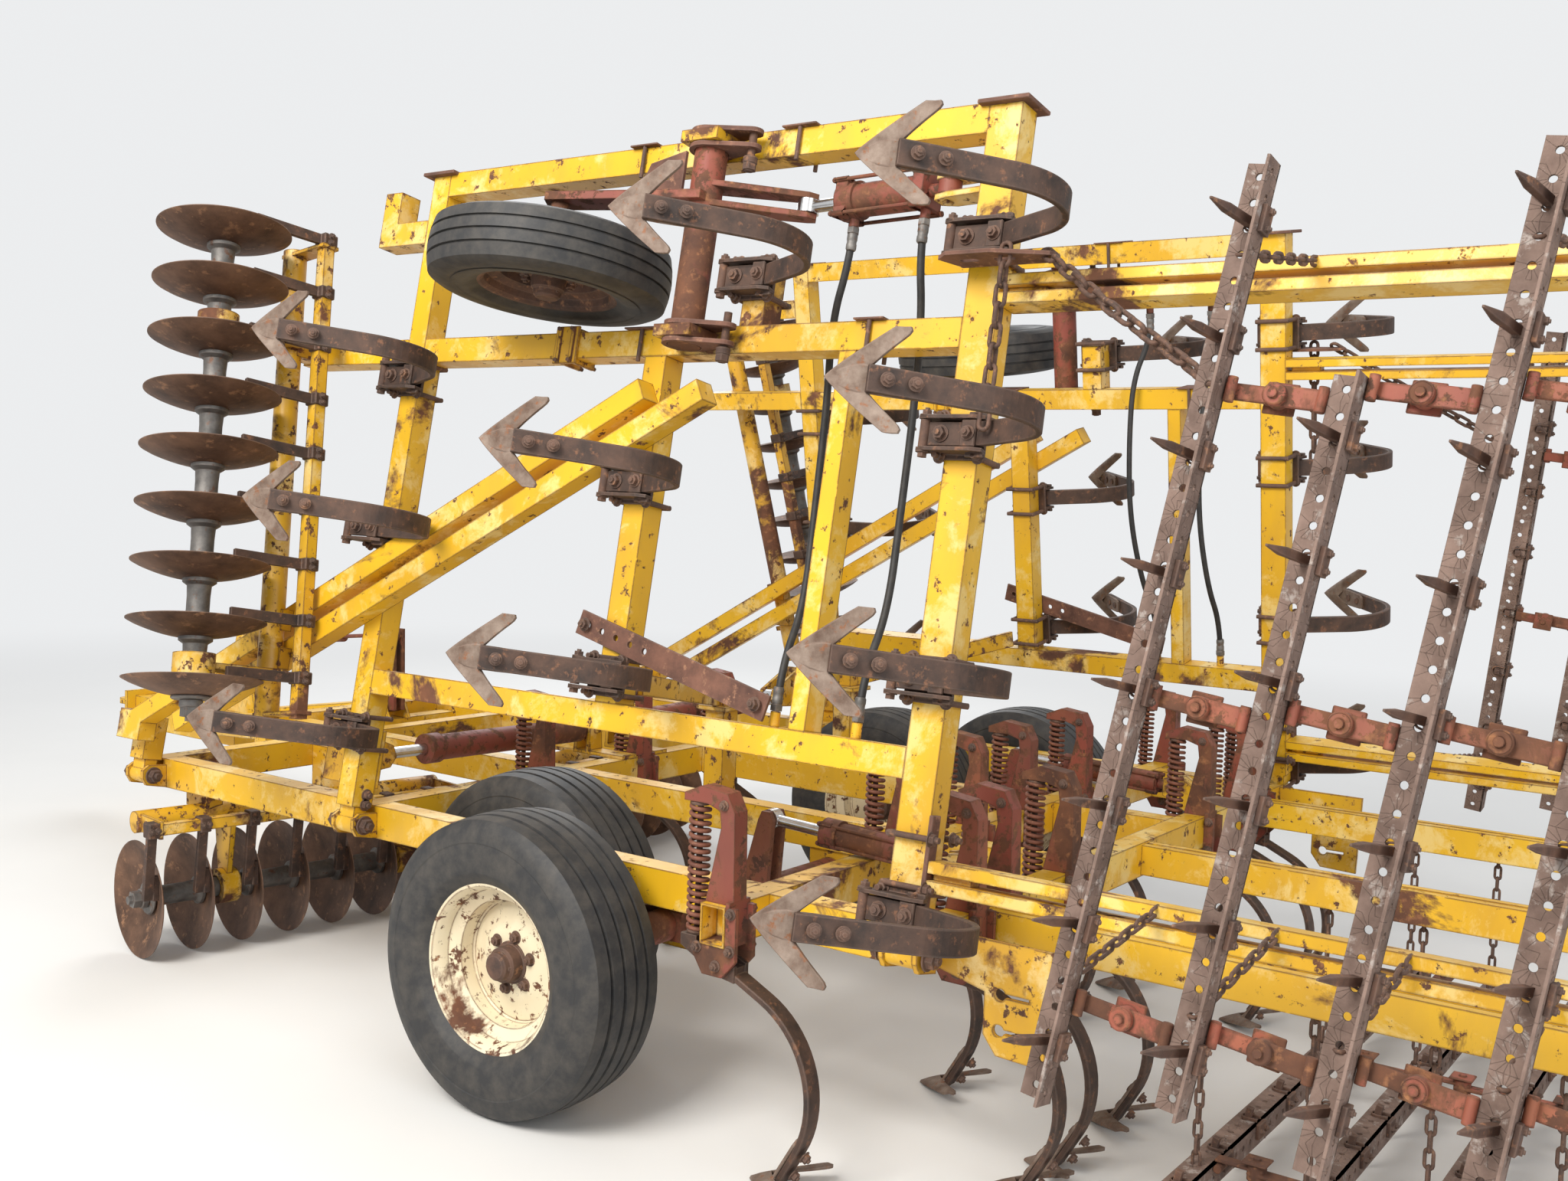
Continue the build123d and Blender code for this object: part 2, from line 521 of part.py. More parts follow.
with BuildPart() as wing_beams:
    box((BEAM_A - HALF, POST_4 + 45, -HALF), (BEAM_A + HALF, POST_1 - HALF, HALF))
    box((BEAM_B - HALF, POST_4 + 45, -HALF), (BEAM_B + HALF, POST_1 - HALF, HALF))
    box((BEAM_B - HALF, POST_1 + HALF, -HALF), (BEAM_B + HALF, 760, HALF))
    box((BEAM_C - HALF, POST_4 + 45, -HALF), (BEAM_C + HALF, POST_1 - HALF, HALF))
write_wing(wing_beams.part, "wing_beams")

BRACE_Z = -HALF - BRACE / 2
with BuildPart() as wing_braces:
    for lift, start_y, end_y in ((0, FRONT_Y, POST_2 - 20), (-115, 1060, -1010)):
        slope = (1440 - 170) / (FRONT_Y + 1000)
        start_x = 170 + slope * (FRONT_Y - start_y) + lift
        end_x = 170 + slope * (FRONT_Y - end_y) + lift
        beam((start_x, start_y, BRACE_Z), (end_x, end_y, BRACE_Z), BRACE, BRACE)
    box((120, FRONT_Y - 90, BRACE_Z - 32), (220, FRONT_Y + HALF, BRACE_Z + 32))
write_wing(wing_braces.part, "wing_braces")


def gang_line(x):
    """The y of the wing's gang tube at this x."""
    return WING_GANG_XY[1] + (x - WING_GANG_XY[0]) * math.tan(math.radians(GANG_ANGLE))


# Brackets of the wing
with BuildPart() as wing_brackets:
    # Gang hangers under beam B and under the braces
    for hanger_x, top in ((BEAM_B, -HALF), (590, -HALF - BRACE), (470, -HALF - BRACE)):
        hanger_y = gang_line(hanger_x)
        box((hanger_x - 34, hanger_y - 45, -GANG_TUBE_DROP), (hanger_x + 34, hanger_y + 45, top))
    axis = Vector(math.cos(math.radians(GANG_ANGLE)), math.sin(math.radians(GANG_ANGLE)), 0)
    mid = Vector(*WING_GANG_XY, -GANG_TUBE_DROP)
    rod(tuple(mid - axis * 1000), tuple(mid + axis * 1000), GANG_TUBE_R, mode=Mode.SUBTRACT)
    # Rockshaft bearings on beams B and C
    for bearing_x in (BEAM_B, BEAM_C):
        box((bearing_x - 16, WING_ROCK[0] - 62, WING_ROCK[1] - 62),
            (bearing_x + 16, WING_ROCK[0] + 62, -HALF))
    rod((BEAM_B - 60, WING_ROCK[0], WING_ROCK[1]), (BEAM_C + 60, WING_ROCK[0], WING_ROCK[1]), ROCK_R + 0.1,
        mode=Mode.SUBTRACT)
    # Anchor of the lift cylinder on post 4
    for low in (-35, 19):
        plate_x(((POST_4 + 45, -HALF + 6), (POST_4 + 45, HALF), (WING_ANCHOR[0] - 10, WING_ANCHOR[1] + 34),
                 (WING_ANCHOR[0] + 30, WING_ANCHOR[1] + 20), (WING_ANCHOR[0] + 30, WING_ANCHOR[1] - 20),
                 (WING_ANCHOR[0] - 10, WING_ANCHOR[1] - 34)), WING_LEVER_X + low, WING_LEVER_X + low + 16)
    rod((WING_LEVER_X - 41, *WING_ANCHOR), (WING_LEVER_X + 41, *WING_ANCHOR), ANCHOR_PIN_R)
    # Stub post beyond beam B, and the bracket at the front top corner
    box((BEAM_B + HALF, -1138, -HALF), (BEAM_B + 200, -1062, HALF))
    box((1830, POST_1 + HALF, -HALF), (1906, 470, HALF))
    box((1906, 394, -HALF), (2010, 470, HALF))
    # Hose fittings on beam A
    for hose_y in (HOSE_1[-1][1], HOSE_2[-1][1]):
        rod((BEAM_A + HALF, hose_y, HOSE_1[-1][2]), (HOSE_1[-1][0] - 0.2, hose_y, HOSE_1[-1][2]), 13)
    # Lug of the fold cylinder
    box((110, POST_1 - HALF, HALF), (290, FOLD_Y + 40, HALF + PLATE))
    for low in (-39, 23):
        plate_y(((115, HALF + PLATE), (285, HALF + PLATE), (FOLD_LUG[0] + 36, FOLD_LUG[1] + 20),
                 (FOLD_LUG[0], FOLD_LUG[1] + 40), (FOLD_LUG[0] - 36, FOLD_LUG[1] + 20)),
                FOLD_Y + low, FOLD_Y + low + 16)
write_wing(wing_brackets.part, "wing_brackets")


def hose(points, radius):
    """Tube along straight runs joined by tangent arcs; prints its least bend radius and its length."""
    corners = [Vector(*point) for point in points]
    path = []
    bends = []
    last = corners[0]
    for before, corner, after in zip(corners, corners[1:], corners[2:]):
        into = (corner - before).normalized()
        out = (after - corner).normalized()
        reach = 0.45 * min((corner - before).length, (after - corner).length)
        turn = math.acos(min(1, into.dot(out)))
        bend = reach / math.tan(turn / 2)
        bends.append(bend)
        start = corner - into * reach
        end = corner + out * reach
        inward = (out - into).normalized()
        middle = corner + inward * (bend / math.cos(turn / 2) - bend)
        path.append(Edge.make_line(last, start))
        path.append(Edge.make_three_point_arc(start, middle, end))
        last = end
    path.append(Edge.make_line(last, corners[-1]))
    route = Wire(path)
    with BuildPart() as tube:
        with BuildSketch(Plane(origin=corners[0], z_dir=corners[1] - corners[0])) as profile:
            Circle(radius)
        sweep(profile.sketch, path=route)
    share = tube.part.volume / (route.length * math.pi * radius ** 2)
    print("hose bend", round(min(bends)), "length", round(route.length), "volume share", round(share, 4))
    return tube.part


write_wing(hose(HOSE_1, HOSE_R), "hose_front")
write_wing(hose(HOSE_2, HOSE_R), "hose_rear")

# Wing wheel and its rockshaft
write_wing(wheel((WING_WHEEL_X, *WING_AXLE), WING_TYRE_R, WING_TYRE_W, WING_RIM_R, -1), "wing_wheel")

with BuildPart() as wing_rockshaft:
    rod((BEAM_B - 30, WING_ROCK[0], WING_ROCK[1]), (BEAM_C + 30, WING_ROCK[0], WING_ROCK[1]), ROCK_R)
    plate_x(((WING_ROCK[0] - 30, WING_ROCK[1] - 60), (WING_ROCK[0] - 30, WING_ROCK[1] + 44),
             (WING_AXLE[0] + 20, WING_AXLE[1] + 45), (WING_AXLE[0] + 50, WING_AXLE[1]),
             (WING_AXLE[0] + 20, WING_AXLE[1] - 45)), WING_ARM_X - 12, WING_ARM_X + 12)
    rod((WING_WHEEL_X + HUB_IN + 0.5, *WING_AXLE), (WING_ARM_X, *WING_AXLE), 26)
    for low in (-35, 19):
        plate_x(((WING_ROCK[0] + 22, WING_ROCK[1] + 36), (WING_ROCK[0] - 22, WING_ROCK[1] - 36),
                 (WING_LEVER_PIN[0] - 14, WING_LEVER_PIN[1] - 22),
                 (WING_LEVER_PIN[0] - 28, WING_LEVER_PIN[1] + 4),
                 (WING_LEVER_PIN[0] - 10, WING_LEVER_PIN[1] + 28),
                 (WING_LEVER_PIN[0] + 14, WING_LEVER_PIN[1] + 22)),
                WING_LEVER_X + low, WING_LEVER_X + low + 16)
write_wing(wing_rockshaft.part, "wing_rockshaft")

wing_barrel, wing_rod = cylinder_pair((WING_LEVER_X, *WING_ANCHOR), (WING_LEVER_X, *WING_LEVER_PIN),
                                      (1, 0, 0), (44.0, 17.0, 30.0), (57.0, 36.0), 125.0, (45.0, 115.0),
                                      [(port, (-1, 0, 0)) for port in PORTS])
write_wing(wing_barrel, "wing_lift_barrel")
write_wing(wing_rod, "wing_lift_rod")


# Shanks
def sweep_plate(tip):
    """Arrow-shaped sweep with its nose lowest, at tip, a (y, z) point."""
    with BuildPart() as share:
        with BuildSketch(Plane(origin=(0, tip[0], tip[1]), x_dir=(1, 0, 0), z_dir=(0, 0.17, 0.985))):
            with BuildLine():
                Polyline((0, 0), (SWEEP_SPAN / 2, -170), (SWEEP_SPAN / 2 - 20, -205), (30, -95), (30, -120),
                         (-30, -120), (-30, -95), (-SWEEP_SPAN / 2 + 20, -205), (-SWEEP_SPAN / 2, -170),
                         close=True)
            make_face()
        extrude(amount=SWEEP_T)
    return share.part


def wing_shank(drop, radius):
    """C-shank on its clamp bracket below a 76 mm tube at the origin, with its sweep."""
    bar_z = -HALF - drop
    turn = 135.0
    centre = (-200.0, bar_z - radius)
    end = math.radians(90 + turn)
    foot = (centre[0] + radius * math.cos(end), centre[1] + radius * math.sin(end))
    way = (-math.sin(end), math.cos(end))
    straight = (STEM_Z - foot[1]) / way[1]
    with BuildPart() as shank:
        with BuildSketch(Plane.YZ.offset(-SHANK_W / 2)):
            with BuildLine():
                top = Line((70, bar_z + SHANK_T / 2), (centre[0], bar_z + SHANK_T / 2))
                outer = CenterArc(centre, radius + SHANK_T / 2, 90, turn)
                inner = CenterArc(centre, radius - SHANK_T / 2, 90, turn)
                low_a = Line(outer @ 1, Vector(*(outer @ 1)) + Vector(way[0], way[1]) * straight)
                low_b = Line(inner @ 1, Vector(*(inner @ 1)) + Vector(way[0], way[1]) * straight)
                Line(low_a @ 1, low_b @ 1)
                under = Line((70, bar_z - SHANK_T / 2), (centre[0], bar_z - SHANK_T / 2))
                Line(top @ 0, under @ 0)
            make_face()
        extrude(amount=SHANK_W)
        # Clamp bracket
        box((-45, -70, bar_z - 23), (-SHANK_W / 2, 80, -HALF))
        box((SHANK_W / 2, -70, bar_z - 23), (45, 80, -HALF))
        box((-45, -60, -HALF - 12), (45, 60, -HALF))
        add(sweep_plate((foot[0] + way[0] * straight + STEM_BACK, -FRAME_Z + TOOL_GAP)))
    return shank.part


WING_SHANKS = (
    # x and y of the tube that carries it
    (1700, POST_4), (1220, POST_4), (640, POST_4), (98, POST_4),
    (1640, -1100), (1080, POST_2), (550, POST_2),
    (1390, POST_1), (280, POST_1),
)
one_wing_shank = wing_shank(37, 205.0)
with BuildPart() as wing_shanks:
    for shank_x, shank_y in WING_SHANKS:
        add(one_wing_shank.moved(Location((shank_x, shank_y, 0))))
    # The shank beside brace 1 passes below it
    add(wing_shank(BRACE + 14, 185.0).moved(Location((906, POST_1, 0))))
write_wing(wing_shanks.part, "wing_shanks")


def trip_bracket():
    """Bracket round the tube with the hooked upright that holds the spring's top."""
    half_h = TUBE_H / 2
    with BuildPart() as bracket:
        for low in (-42, 30):
            plate_x(((-70, half_h), (-70, -half_h - 30), (-30, -half_h - 75), (30, -half_h - 75),
                     (60, -half_h - 30), (60, -half_h), (-HALF, -half_h), (-HALF, half_h)), low, low + 12)
        box((-42, -HALF - 12, -half_h), (42, -HALF, half_h + 12))
        plate_x(((-HALF - 12, half_h), (HALF, half_h), (-4, half_h + 190), (2, half_h + 230),
                 (40, half_h + 242.2), (114, half_h + 242.2), (114, half_h + 262), (60, half_h + 285),
                 (-20, half_h + 275), (-44, half_h + 230)), -26, 26)
    return bracket.part


def trip_spring():
    """Coil spring in front of the tube, from the lever's socket up to the hook."""
    with BuildPart() as spring:
        rod((0, 82, -39.8), (0, 82, TUBE_H / 2 + 242), 27)
    return spring.part


def trip_shank():
    """Lever with the spring's socket, and the long curved shank with its sweep."""
    half_h = TUBE_H / 2
    radius = 250.0
    start = (-30.0, -half_h - 62)
    lean = math.radians(25)
    bend = (start[0] - 120 * math.cos(lean), start[1] - 120 * math.sin(lean))
    centre = (bend[0] + radius * math.sin(lean), bend[1] - radius * math.cos(lean))
    end = math.radians(115 + 95)
    foot = (centre[0] + radius * math.cos(end), centre[1] + radius * math.sin(end))
    way = (-math.sin(end), math.cos(end))
    straight = (STEM_Z - foot[1]) / way[1]
    side = Vector(math.sin(lean), -math.cos(lean)) * (SHANK_T / 2)
    with BuildPart() as shank:
        with BuildSketch(Plane.YZ.offset(-25)):
            with BuildLine():
                outer = CenterArc(centre, radius + SHANK_T / 2, 115, 95)
                inner = CenterArc(centre, radius - SHANK_T / 2, 115, 95)
                a = Line(Vector(*start) - side, outer @ 0)
                b = Line(Vector(*start) + side, inner @ 0)
                c = Line(outer @ 1, Vector(*(outer @ 1)) + Vector(way[0], way[1]) * straight)
                d = Line(inner @ 1, Vector(*(inner @ 1)) + Vector(way[0], way[1]) * straight)
                Line(c @ 1, d @ 1)
                Line(a @ 0, b @ 0)
            make_face()
        extrude(amount=50)
        plate_x(((-60, -half_h - 85), (-60, -half_h - 45), (20, -half_h - 14), (60, -66), (60, -40),
                 (110, -40), (110, -70), (30, -half_h - 60), (0, -half_h - 76)), -29.8, 29.8)
        add(sweep_plate((foot[0] + way[0] * straight + STEM_BACK, -FRAME_Z + TOOL_GAP)))
    return shank.part


TRIP_SHANKS = (
    # x and the tube's y
    (0, SECOND_Y), (-520, SECOND_Y), (520, SECOND_Y),
    (-1415, THIRD_Y), (1415, THIRD_Y), (-600, THIRD_Y), (600, THIRD_Y), (-170, THIRD_Y), (170, THIRD_Y),
    (-1060, REAR_Y), (1060, REAR_Y), (-880, REAR_Y), (880, REAR_Y), (-520, REAR_Y), (520, REAR_Y),
)
for piece_name, one_piece in (("trip_brackets", trip_bracket()), ("trip_springs", trip_spring()),
                              ("trip_shanks", trip_shank())):
    with BuildPart() as row:
        for trip_x, trip_y in TRIP_SHANKS:
            add(one_piece.moved(Location((trip_x, trip_y, FRAME_Z))))
    write(row.part, piece_name)


# Harrow
def angle_bar(length):
    """Perforated angle iron along x with spike teeth below it, its corner at the origin."""
    with BuildPart() as bar:
        with BuildSketch(Plane.YZ):
            with BuildLine():
                Polyline((0, 0), (BAR_LEG, 0), (BAR_LEG, -BAR_T), (BAR_T, -BAR_T), (BAR_T, -BAR_LEG),
                         (0, -BAR_LEG), close=True)
            make_face()
        extrude(amount=length)
        count = round(length / 230)
        for k in range(count):
            tooth_x = (k + 0.5) * length / count
            box((tooth_x - TOOTH / 2, BAR_T, -BAR_LEG - TOOTH_LENGTH + 40),
                (tooth_x + TOOTH / 2, BAR_T + TOOTH, -8))
    return bar.part


def harrow_bars(rows, lean, link_places):
    """Bars one behind the other, each with its start and length, joined by short flat links."""
    first_x = rows[0][0]
    spacing = BAR_STEP * math.cos(math.radians(lean))
    link = Box(50, spacing - BAR_LEG - 0.4, BAR_T, mode=Mode.PRIVATE)
    with BuildPart() as bars:
        for k, (start_x, length) in enumerate(rows):
            place = Location((first_x, REAR_Y - BAR_FIRST - k * BAR_STEP, -BAR_DROP), (0, 0, -lean))
            add(angle_bar(length).moved(place * Location((start_x - first_x, 0, 0))))
            if k:
                for along in link_places:
                    add(link.moved(place * Location((along, (BAR_LEG + spacing) / 2, -BAR_T / 2))))
    return bars.part


def harrow_arms(places, back, hang, rows, lean):
    """Drag arms, each two channel halves with a gap, and the chains from them to the leaning bars."""
    slope = math.tan(math.radians(lean))
    with BuildPart() as arms:
        for arm_x in places:
            for low in (-36, 8):
                plate_x(((REAR_Y - back, -45), (REAR_Y - back, 45), (REAR_Y - ARM_LENGTH + 60, 45),
                         (REAR_Y - ARM_LENGTH, 20), (REAR_Y - ARM_LENGTH, -45)),
                        arm_x + low, arm_x + low + 28)
            box((arm_x - 8, REAR_Y - 160, -20), (arm_x + 8, REAR_Y - 60, 20))
            box((arm_x - 8, REAR_Y - ARM_LENGTH + 40, -20), (arm_x + 8, REAR_Y - ARM_LENGTH + 140, 20))
    with BuildPart() as chains:
        for arm_x in places:
            low_x = arm_x - hang
            for k, (start_x, length) in enumerate(rows):
                if low_x + 60 > start_x + length:
                    continue
                chain_y = REAR_Y - BAR_FIRST - k * BAR_STEP - slope * (low_x - rows[0][0]) + 30
                top_y = max(chain_y, REAR_Y - ARM_LENGTH + 30)
                run = Vector(low_x - arm_x, chain_y - top_y, -BAR_DROP + 45) * 0.1
                rod(Vector(arm_x + 22, top_y, -45) - run, Vector(low_x + 22, chain_y, -BAR_DROP) + run,
                    CHAIN_R)
        # Each chain runs from the arm's underside to the bar's top
        box((-2500, REAR_Y, -45.2), (2500, REAR_Y - 3000, 400), mode=Mode.SUBTRACT)
        box((-2500, REAR_Y, -BAR_DROP + 0.2), (2500, REAR_Y - 3000, -1000), mode=Mode.SUBTRACT)
    return arms.part, chains.part


# Start and length of each bar, from the front one back
WING_BARS = ((-130, 1790), (-90, 1340), (-130, 1790), (-90, 1340), (-130, 1790))
CENTRE_BARS = ((-1185, 2370),) * BAR_COUNT
WING_ARMS = (190.0, 1580.0)
CENTRE_ARMS = (-970.0, 0.0, 970.0)
wing_arms, wing_chains = harrow_arms(WING_ARMS, 45.0, 120.0, WING_BARS, BAR_LEAN)
write_wing(wing_arms, "wing_harrow_arms")
with BuildPart() as wing_harrow:
    add(harrow_bars(WING_BARS, BAR_LEAN, (165, 745, 1330)))
    add(wing_chains)
write_wing(wing_harrow.part, "wing_harrow")
AT_FRAME = Location((0, 0, FRAME_Z))
centre_arms, centre_chains = harrow_arms(CENTRE_ARMS, HALF, 0.0, CENTRE_BARS, 0.0)
write(centre_arms.moved(AT_FRAME), "harrow_arms")
with BuildPart() as harrow:
    add(harrow_bars(CENTRE_BARS, 0, (285, 1185, 2085)).moved(AT_FRAME))
    add(centre_chains.moved(AT_FRAME))
write(harrow.part, "harrow")
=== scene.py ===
"""Folded mulch finisher: detailed pieces, materials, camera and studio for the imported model.

Lengths are in metres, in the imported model's frame: X to the machine's right, Y forwards, Z up.
A wing's pieces are laid out flat, x outwards from its hinge pin and z up, and are then folded.
"""
import math
import random

import bmesh
import bpy
from mathutils import Matrix, Vector


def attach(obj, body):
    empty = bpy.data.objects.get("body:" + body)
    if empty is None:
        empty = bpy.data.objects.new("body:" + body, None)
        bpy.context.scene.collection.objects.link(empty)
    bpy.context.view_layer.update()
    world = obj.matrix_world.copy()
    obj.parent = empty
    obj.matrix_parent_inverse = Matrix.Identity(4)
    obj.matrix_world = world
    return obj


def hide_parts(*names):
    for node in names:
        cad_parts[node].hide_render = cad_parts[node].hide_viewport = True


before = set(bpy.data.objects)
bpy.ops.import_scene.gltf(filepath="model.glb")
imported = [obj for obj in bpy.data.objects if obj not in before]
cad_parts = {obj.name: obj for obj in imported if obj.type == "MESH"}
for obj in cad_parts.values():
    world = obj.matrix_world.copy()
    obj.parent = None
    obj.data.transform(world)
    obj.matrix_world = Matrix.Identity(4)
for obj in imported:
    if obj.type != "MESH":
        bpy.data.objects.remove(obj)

bl_info = {
    "name": "Mulch finisher",
    "version": (1, 0, 0),
    "blender": (4, 5, 0),
    "location": "View3D > Sidebar > Finisher",
    "description": "Builds the detailed pieces of a folded mulch finisher",
    "category": "Object",
}

TAU = math.tau
SIDES = (("left", -1), ("right", 1))

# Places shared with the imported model
HINGE_X, FRAME_Z = 1.335, 0.620
FOLD = math.radians(-100)
FRONT_Y, SECOND_Y, THIRD_Y, REAR_Y = 1.335, 0.210, -1.310, -1.785
POST_1, POST_2, POST_4 = SECOND_Y, -0.785, REAR_Y
BEAM_B, BEAM_C = 1.480, 2.015
HALF, TUBE_H = 0.038, 0.102
GANG_DROP, GANG_TUBE_DROP = 0.415, 0.145
GANG_TURN = math.radians(9)
WING_ANCHOR = Vector((1.865, -1.625, 0.015))
WING_PIN = Vector((1.865, -1.170, 0.050))
WING_ROCK = (-0.930, -0.095)
LIFT_ANCHOR = Vector((0.780, -1.600, 0.700))
# On the rockshaft's arm, 0.235 long and 10 degrees off upright
LIFT_PIN = Vector((0.780, -0.950 - 0.235 * math.sin(math.radians(10)),
                   0.500 + 0.235 * math.cos(math.radians(10))))
CENTRE_GANG, WING_GANG = (0.840, 1.147, 0.205), (1.032, 0.630, -GANG_DROP)
TOOL_GAP = 0.002
SCRAPER_Y = -0.155
HARROW_Y, HARROW_STEP, HARROW_DROP = REAR_Y - 0.612, 0.254, 0.470
ARM_LENGTH = 1.660
# Start and length of each harrow bar, from the front one back
WING_BARS = ((-0.130, 1.790), (-0.090, 1.340), (-0.130, 1.790), (-0.090, 1.340), (-0.130, 1.790))
CENTRE_BARS = ((-1.185, 2.370),) * 5

# Hose routes on the flat wing, from the cylinder's port over beam B to the fitting on beam A
HOSE_ROUTES = {
    "front": ((1.793, -1.3349, 0.0373), (1.700, -1.3349, 0.0373), (1.560, -1.280, 0.075),
              (1.330, -1.275, 0.112), (1.060, -1.275, 0.122), (0.800, -1.305, 0.090),
              (0.640, -1.325, 0.0), (0.518, -1.325, 0.0)),
    "rear": ((1.793, -1.5592, 0.0201), (1.700, -1.5592, 0.0201), (1.560, -1.556, 0.072),
             (1.330, -1.545, 0.112), (1.060, -1.540, 0.122), (0.800, -1.560, 0.090),
             (0.640, -1.572, 0.0), (0.518, -1.572, 0.0)),
}

# x and the carrying tube's y, in the flat wing
WING_SHANKS = ((1.700, POST_4), (1.220, POST_4), (0.640, POST_4), (0.098, POST_4), (1.640, -1.100),
               (1.080, POST_2), (0.550, POST_2), (1.390, POST_1), (0.280, POST_1))
LOW_SHANK = (0.906, POST_1)
# Height of a shank's lower end on the flat wing, just above the sweep's nose
NOSE_Z = -FRAME_Z + TOOL_GAP
NOSE_AHEAD = 0.095
STEM_Z = NOSE_Z + 0.17 * NOSE_AHEAD + 0.004
TRIP_SHANKS = ((0, SECOND_Y), (-0.520, SECOND_Y), (0.520, SECOND_Y),
               (-1.415, THIRD_Y), (1.415, THIRD_Y), (-0.600, THIRD_Y), (0.600, THIRD_Y),
               (-0.170, THIRD_Y), (0.170, THIRD_Y), (-1.060, REAR_Y), (1.060, REAR_Y),
               (-0.880, REAR_Y), (0.880, REAR_Y), (-0.520, REAR_Y), (0.520, REAR_Y))


def mirrored(place, side):
    """The same place, or its mirror image on the left."""
    return Matrix.Scale(-1, 4, (1, 0, 0)) @ place if side < 0 else place


def wing_place(side):
    """Matrix from the flat wing to the folded wing of that side, -1 or 1."""
    return mirrored(Matrix.Translation((HINGE_X, 0, FRAME_Z)) @ Matrix.Rotation(FOLD, 4, "Y"), side)


def turned_to(origin, direction, up=(0, 0, 1)):
    """Matrix whose z axis points along direction, with its y axis near up."""
    z = Vector(direction).normalized()
    for near in (up, (1, 0, 0), (0, 1, 0)):
        x = Vector(near).cross(z)
        if x.length >= 1e-6:
            break
    x.normalize()
    place = Matrix((x, z.cross(x), z)).transposed().to_4x4()
    place.translation = origin
    return place


def stand_x(x):
    """Matrix that stands a plate drawn in y and z at this x."""
    return Matrix(((0, 0, 1, x), (1, 0, 0, 0), (0, 1, 0, 0), (0, 0, 0, 1)))


def arc(centre, radius, first, turn, steps):
    """Points along an arc, from the angle first and over the angle turn, in degrees."""
    angles = [math.radians(first + turn * k / steps) for k in range(steps + 1)]
    return [(centre[0] + radius * math.cos(a), centre[1] + radius * math.sin(a)) for a in angles]


def ring(radius, sides, centre=(0, 0)):
    """Points round a circle."""
    return arc(centre, radius, 0, 360, sides)[:-1]


def side_faces(n, levels=1):
    """Faces between rings of n points that follow one another."""
    return [(k * n + i, k * n + (i + 1) % n, (k + 1) * n + (i + 1) % n, (k + 1) * n + i)
            for k in range(levels) for i in range(n)]


def end_faces(n, levels=1):
    """Faces that close the first and the last ring."""
    return [tuple(range(n))[::-1], tuple(range(levels * n, (levels + 1) * n))]


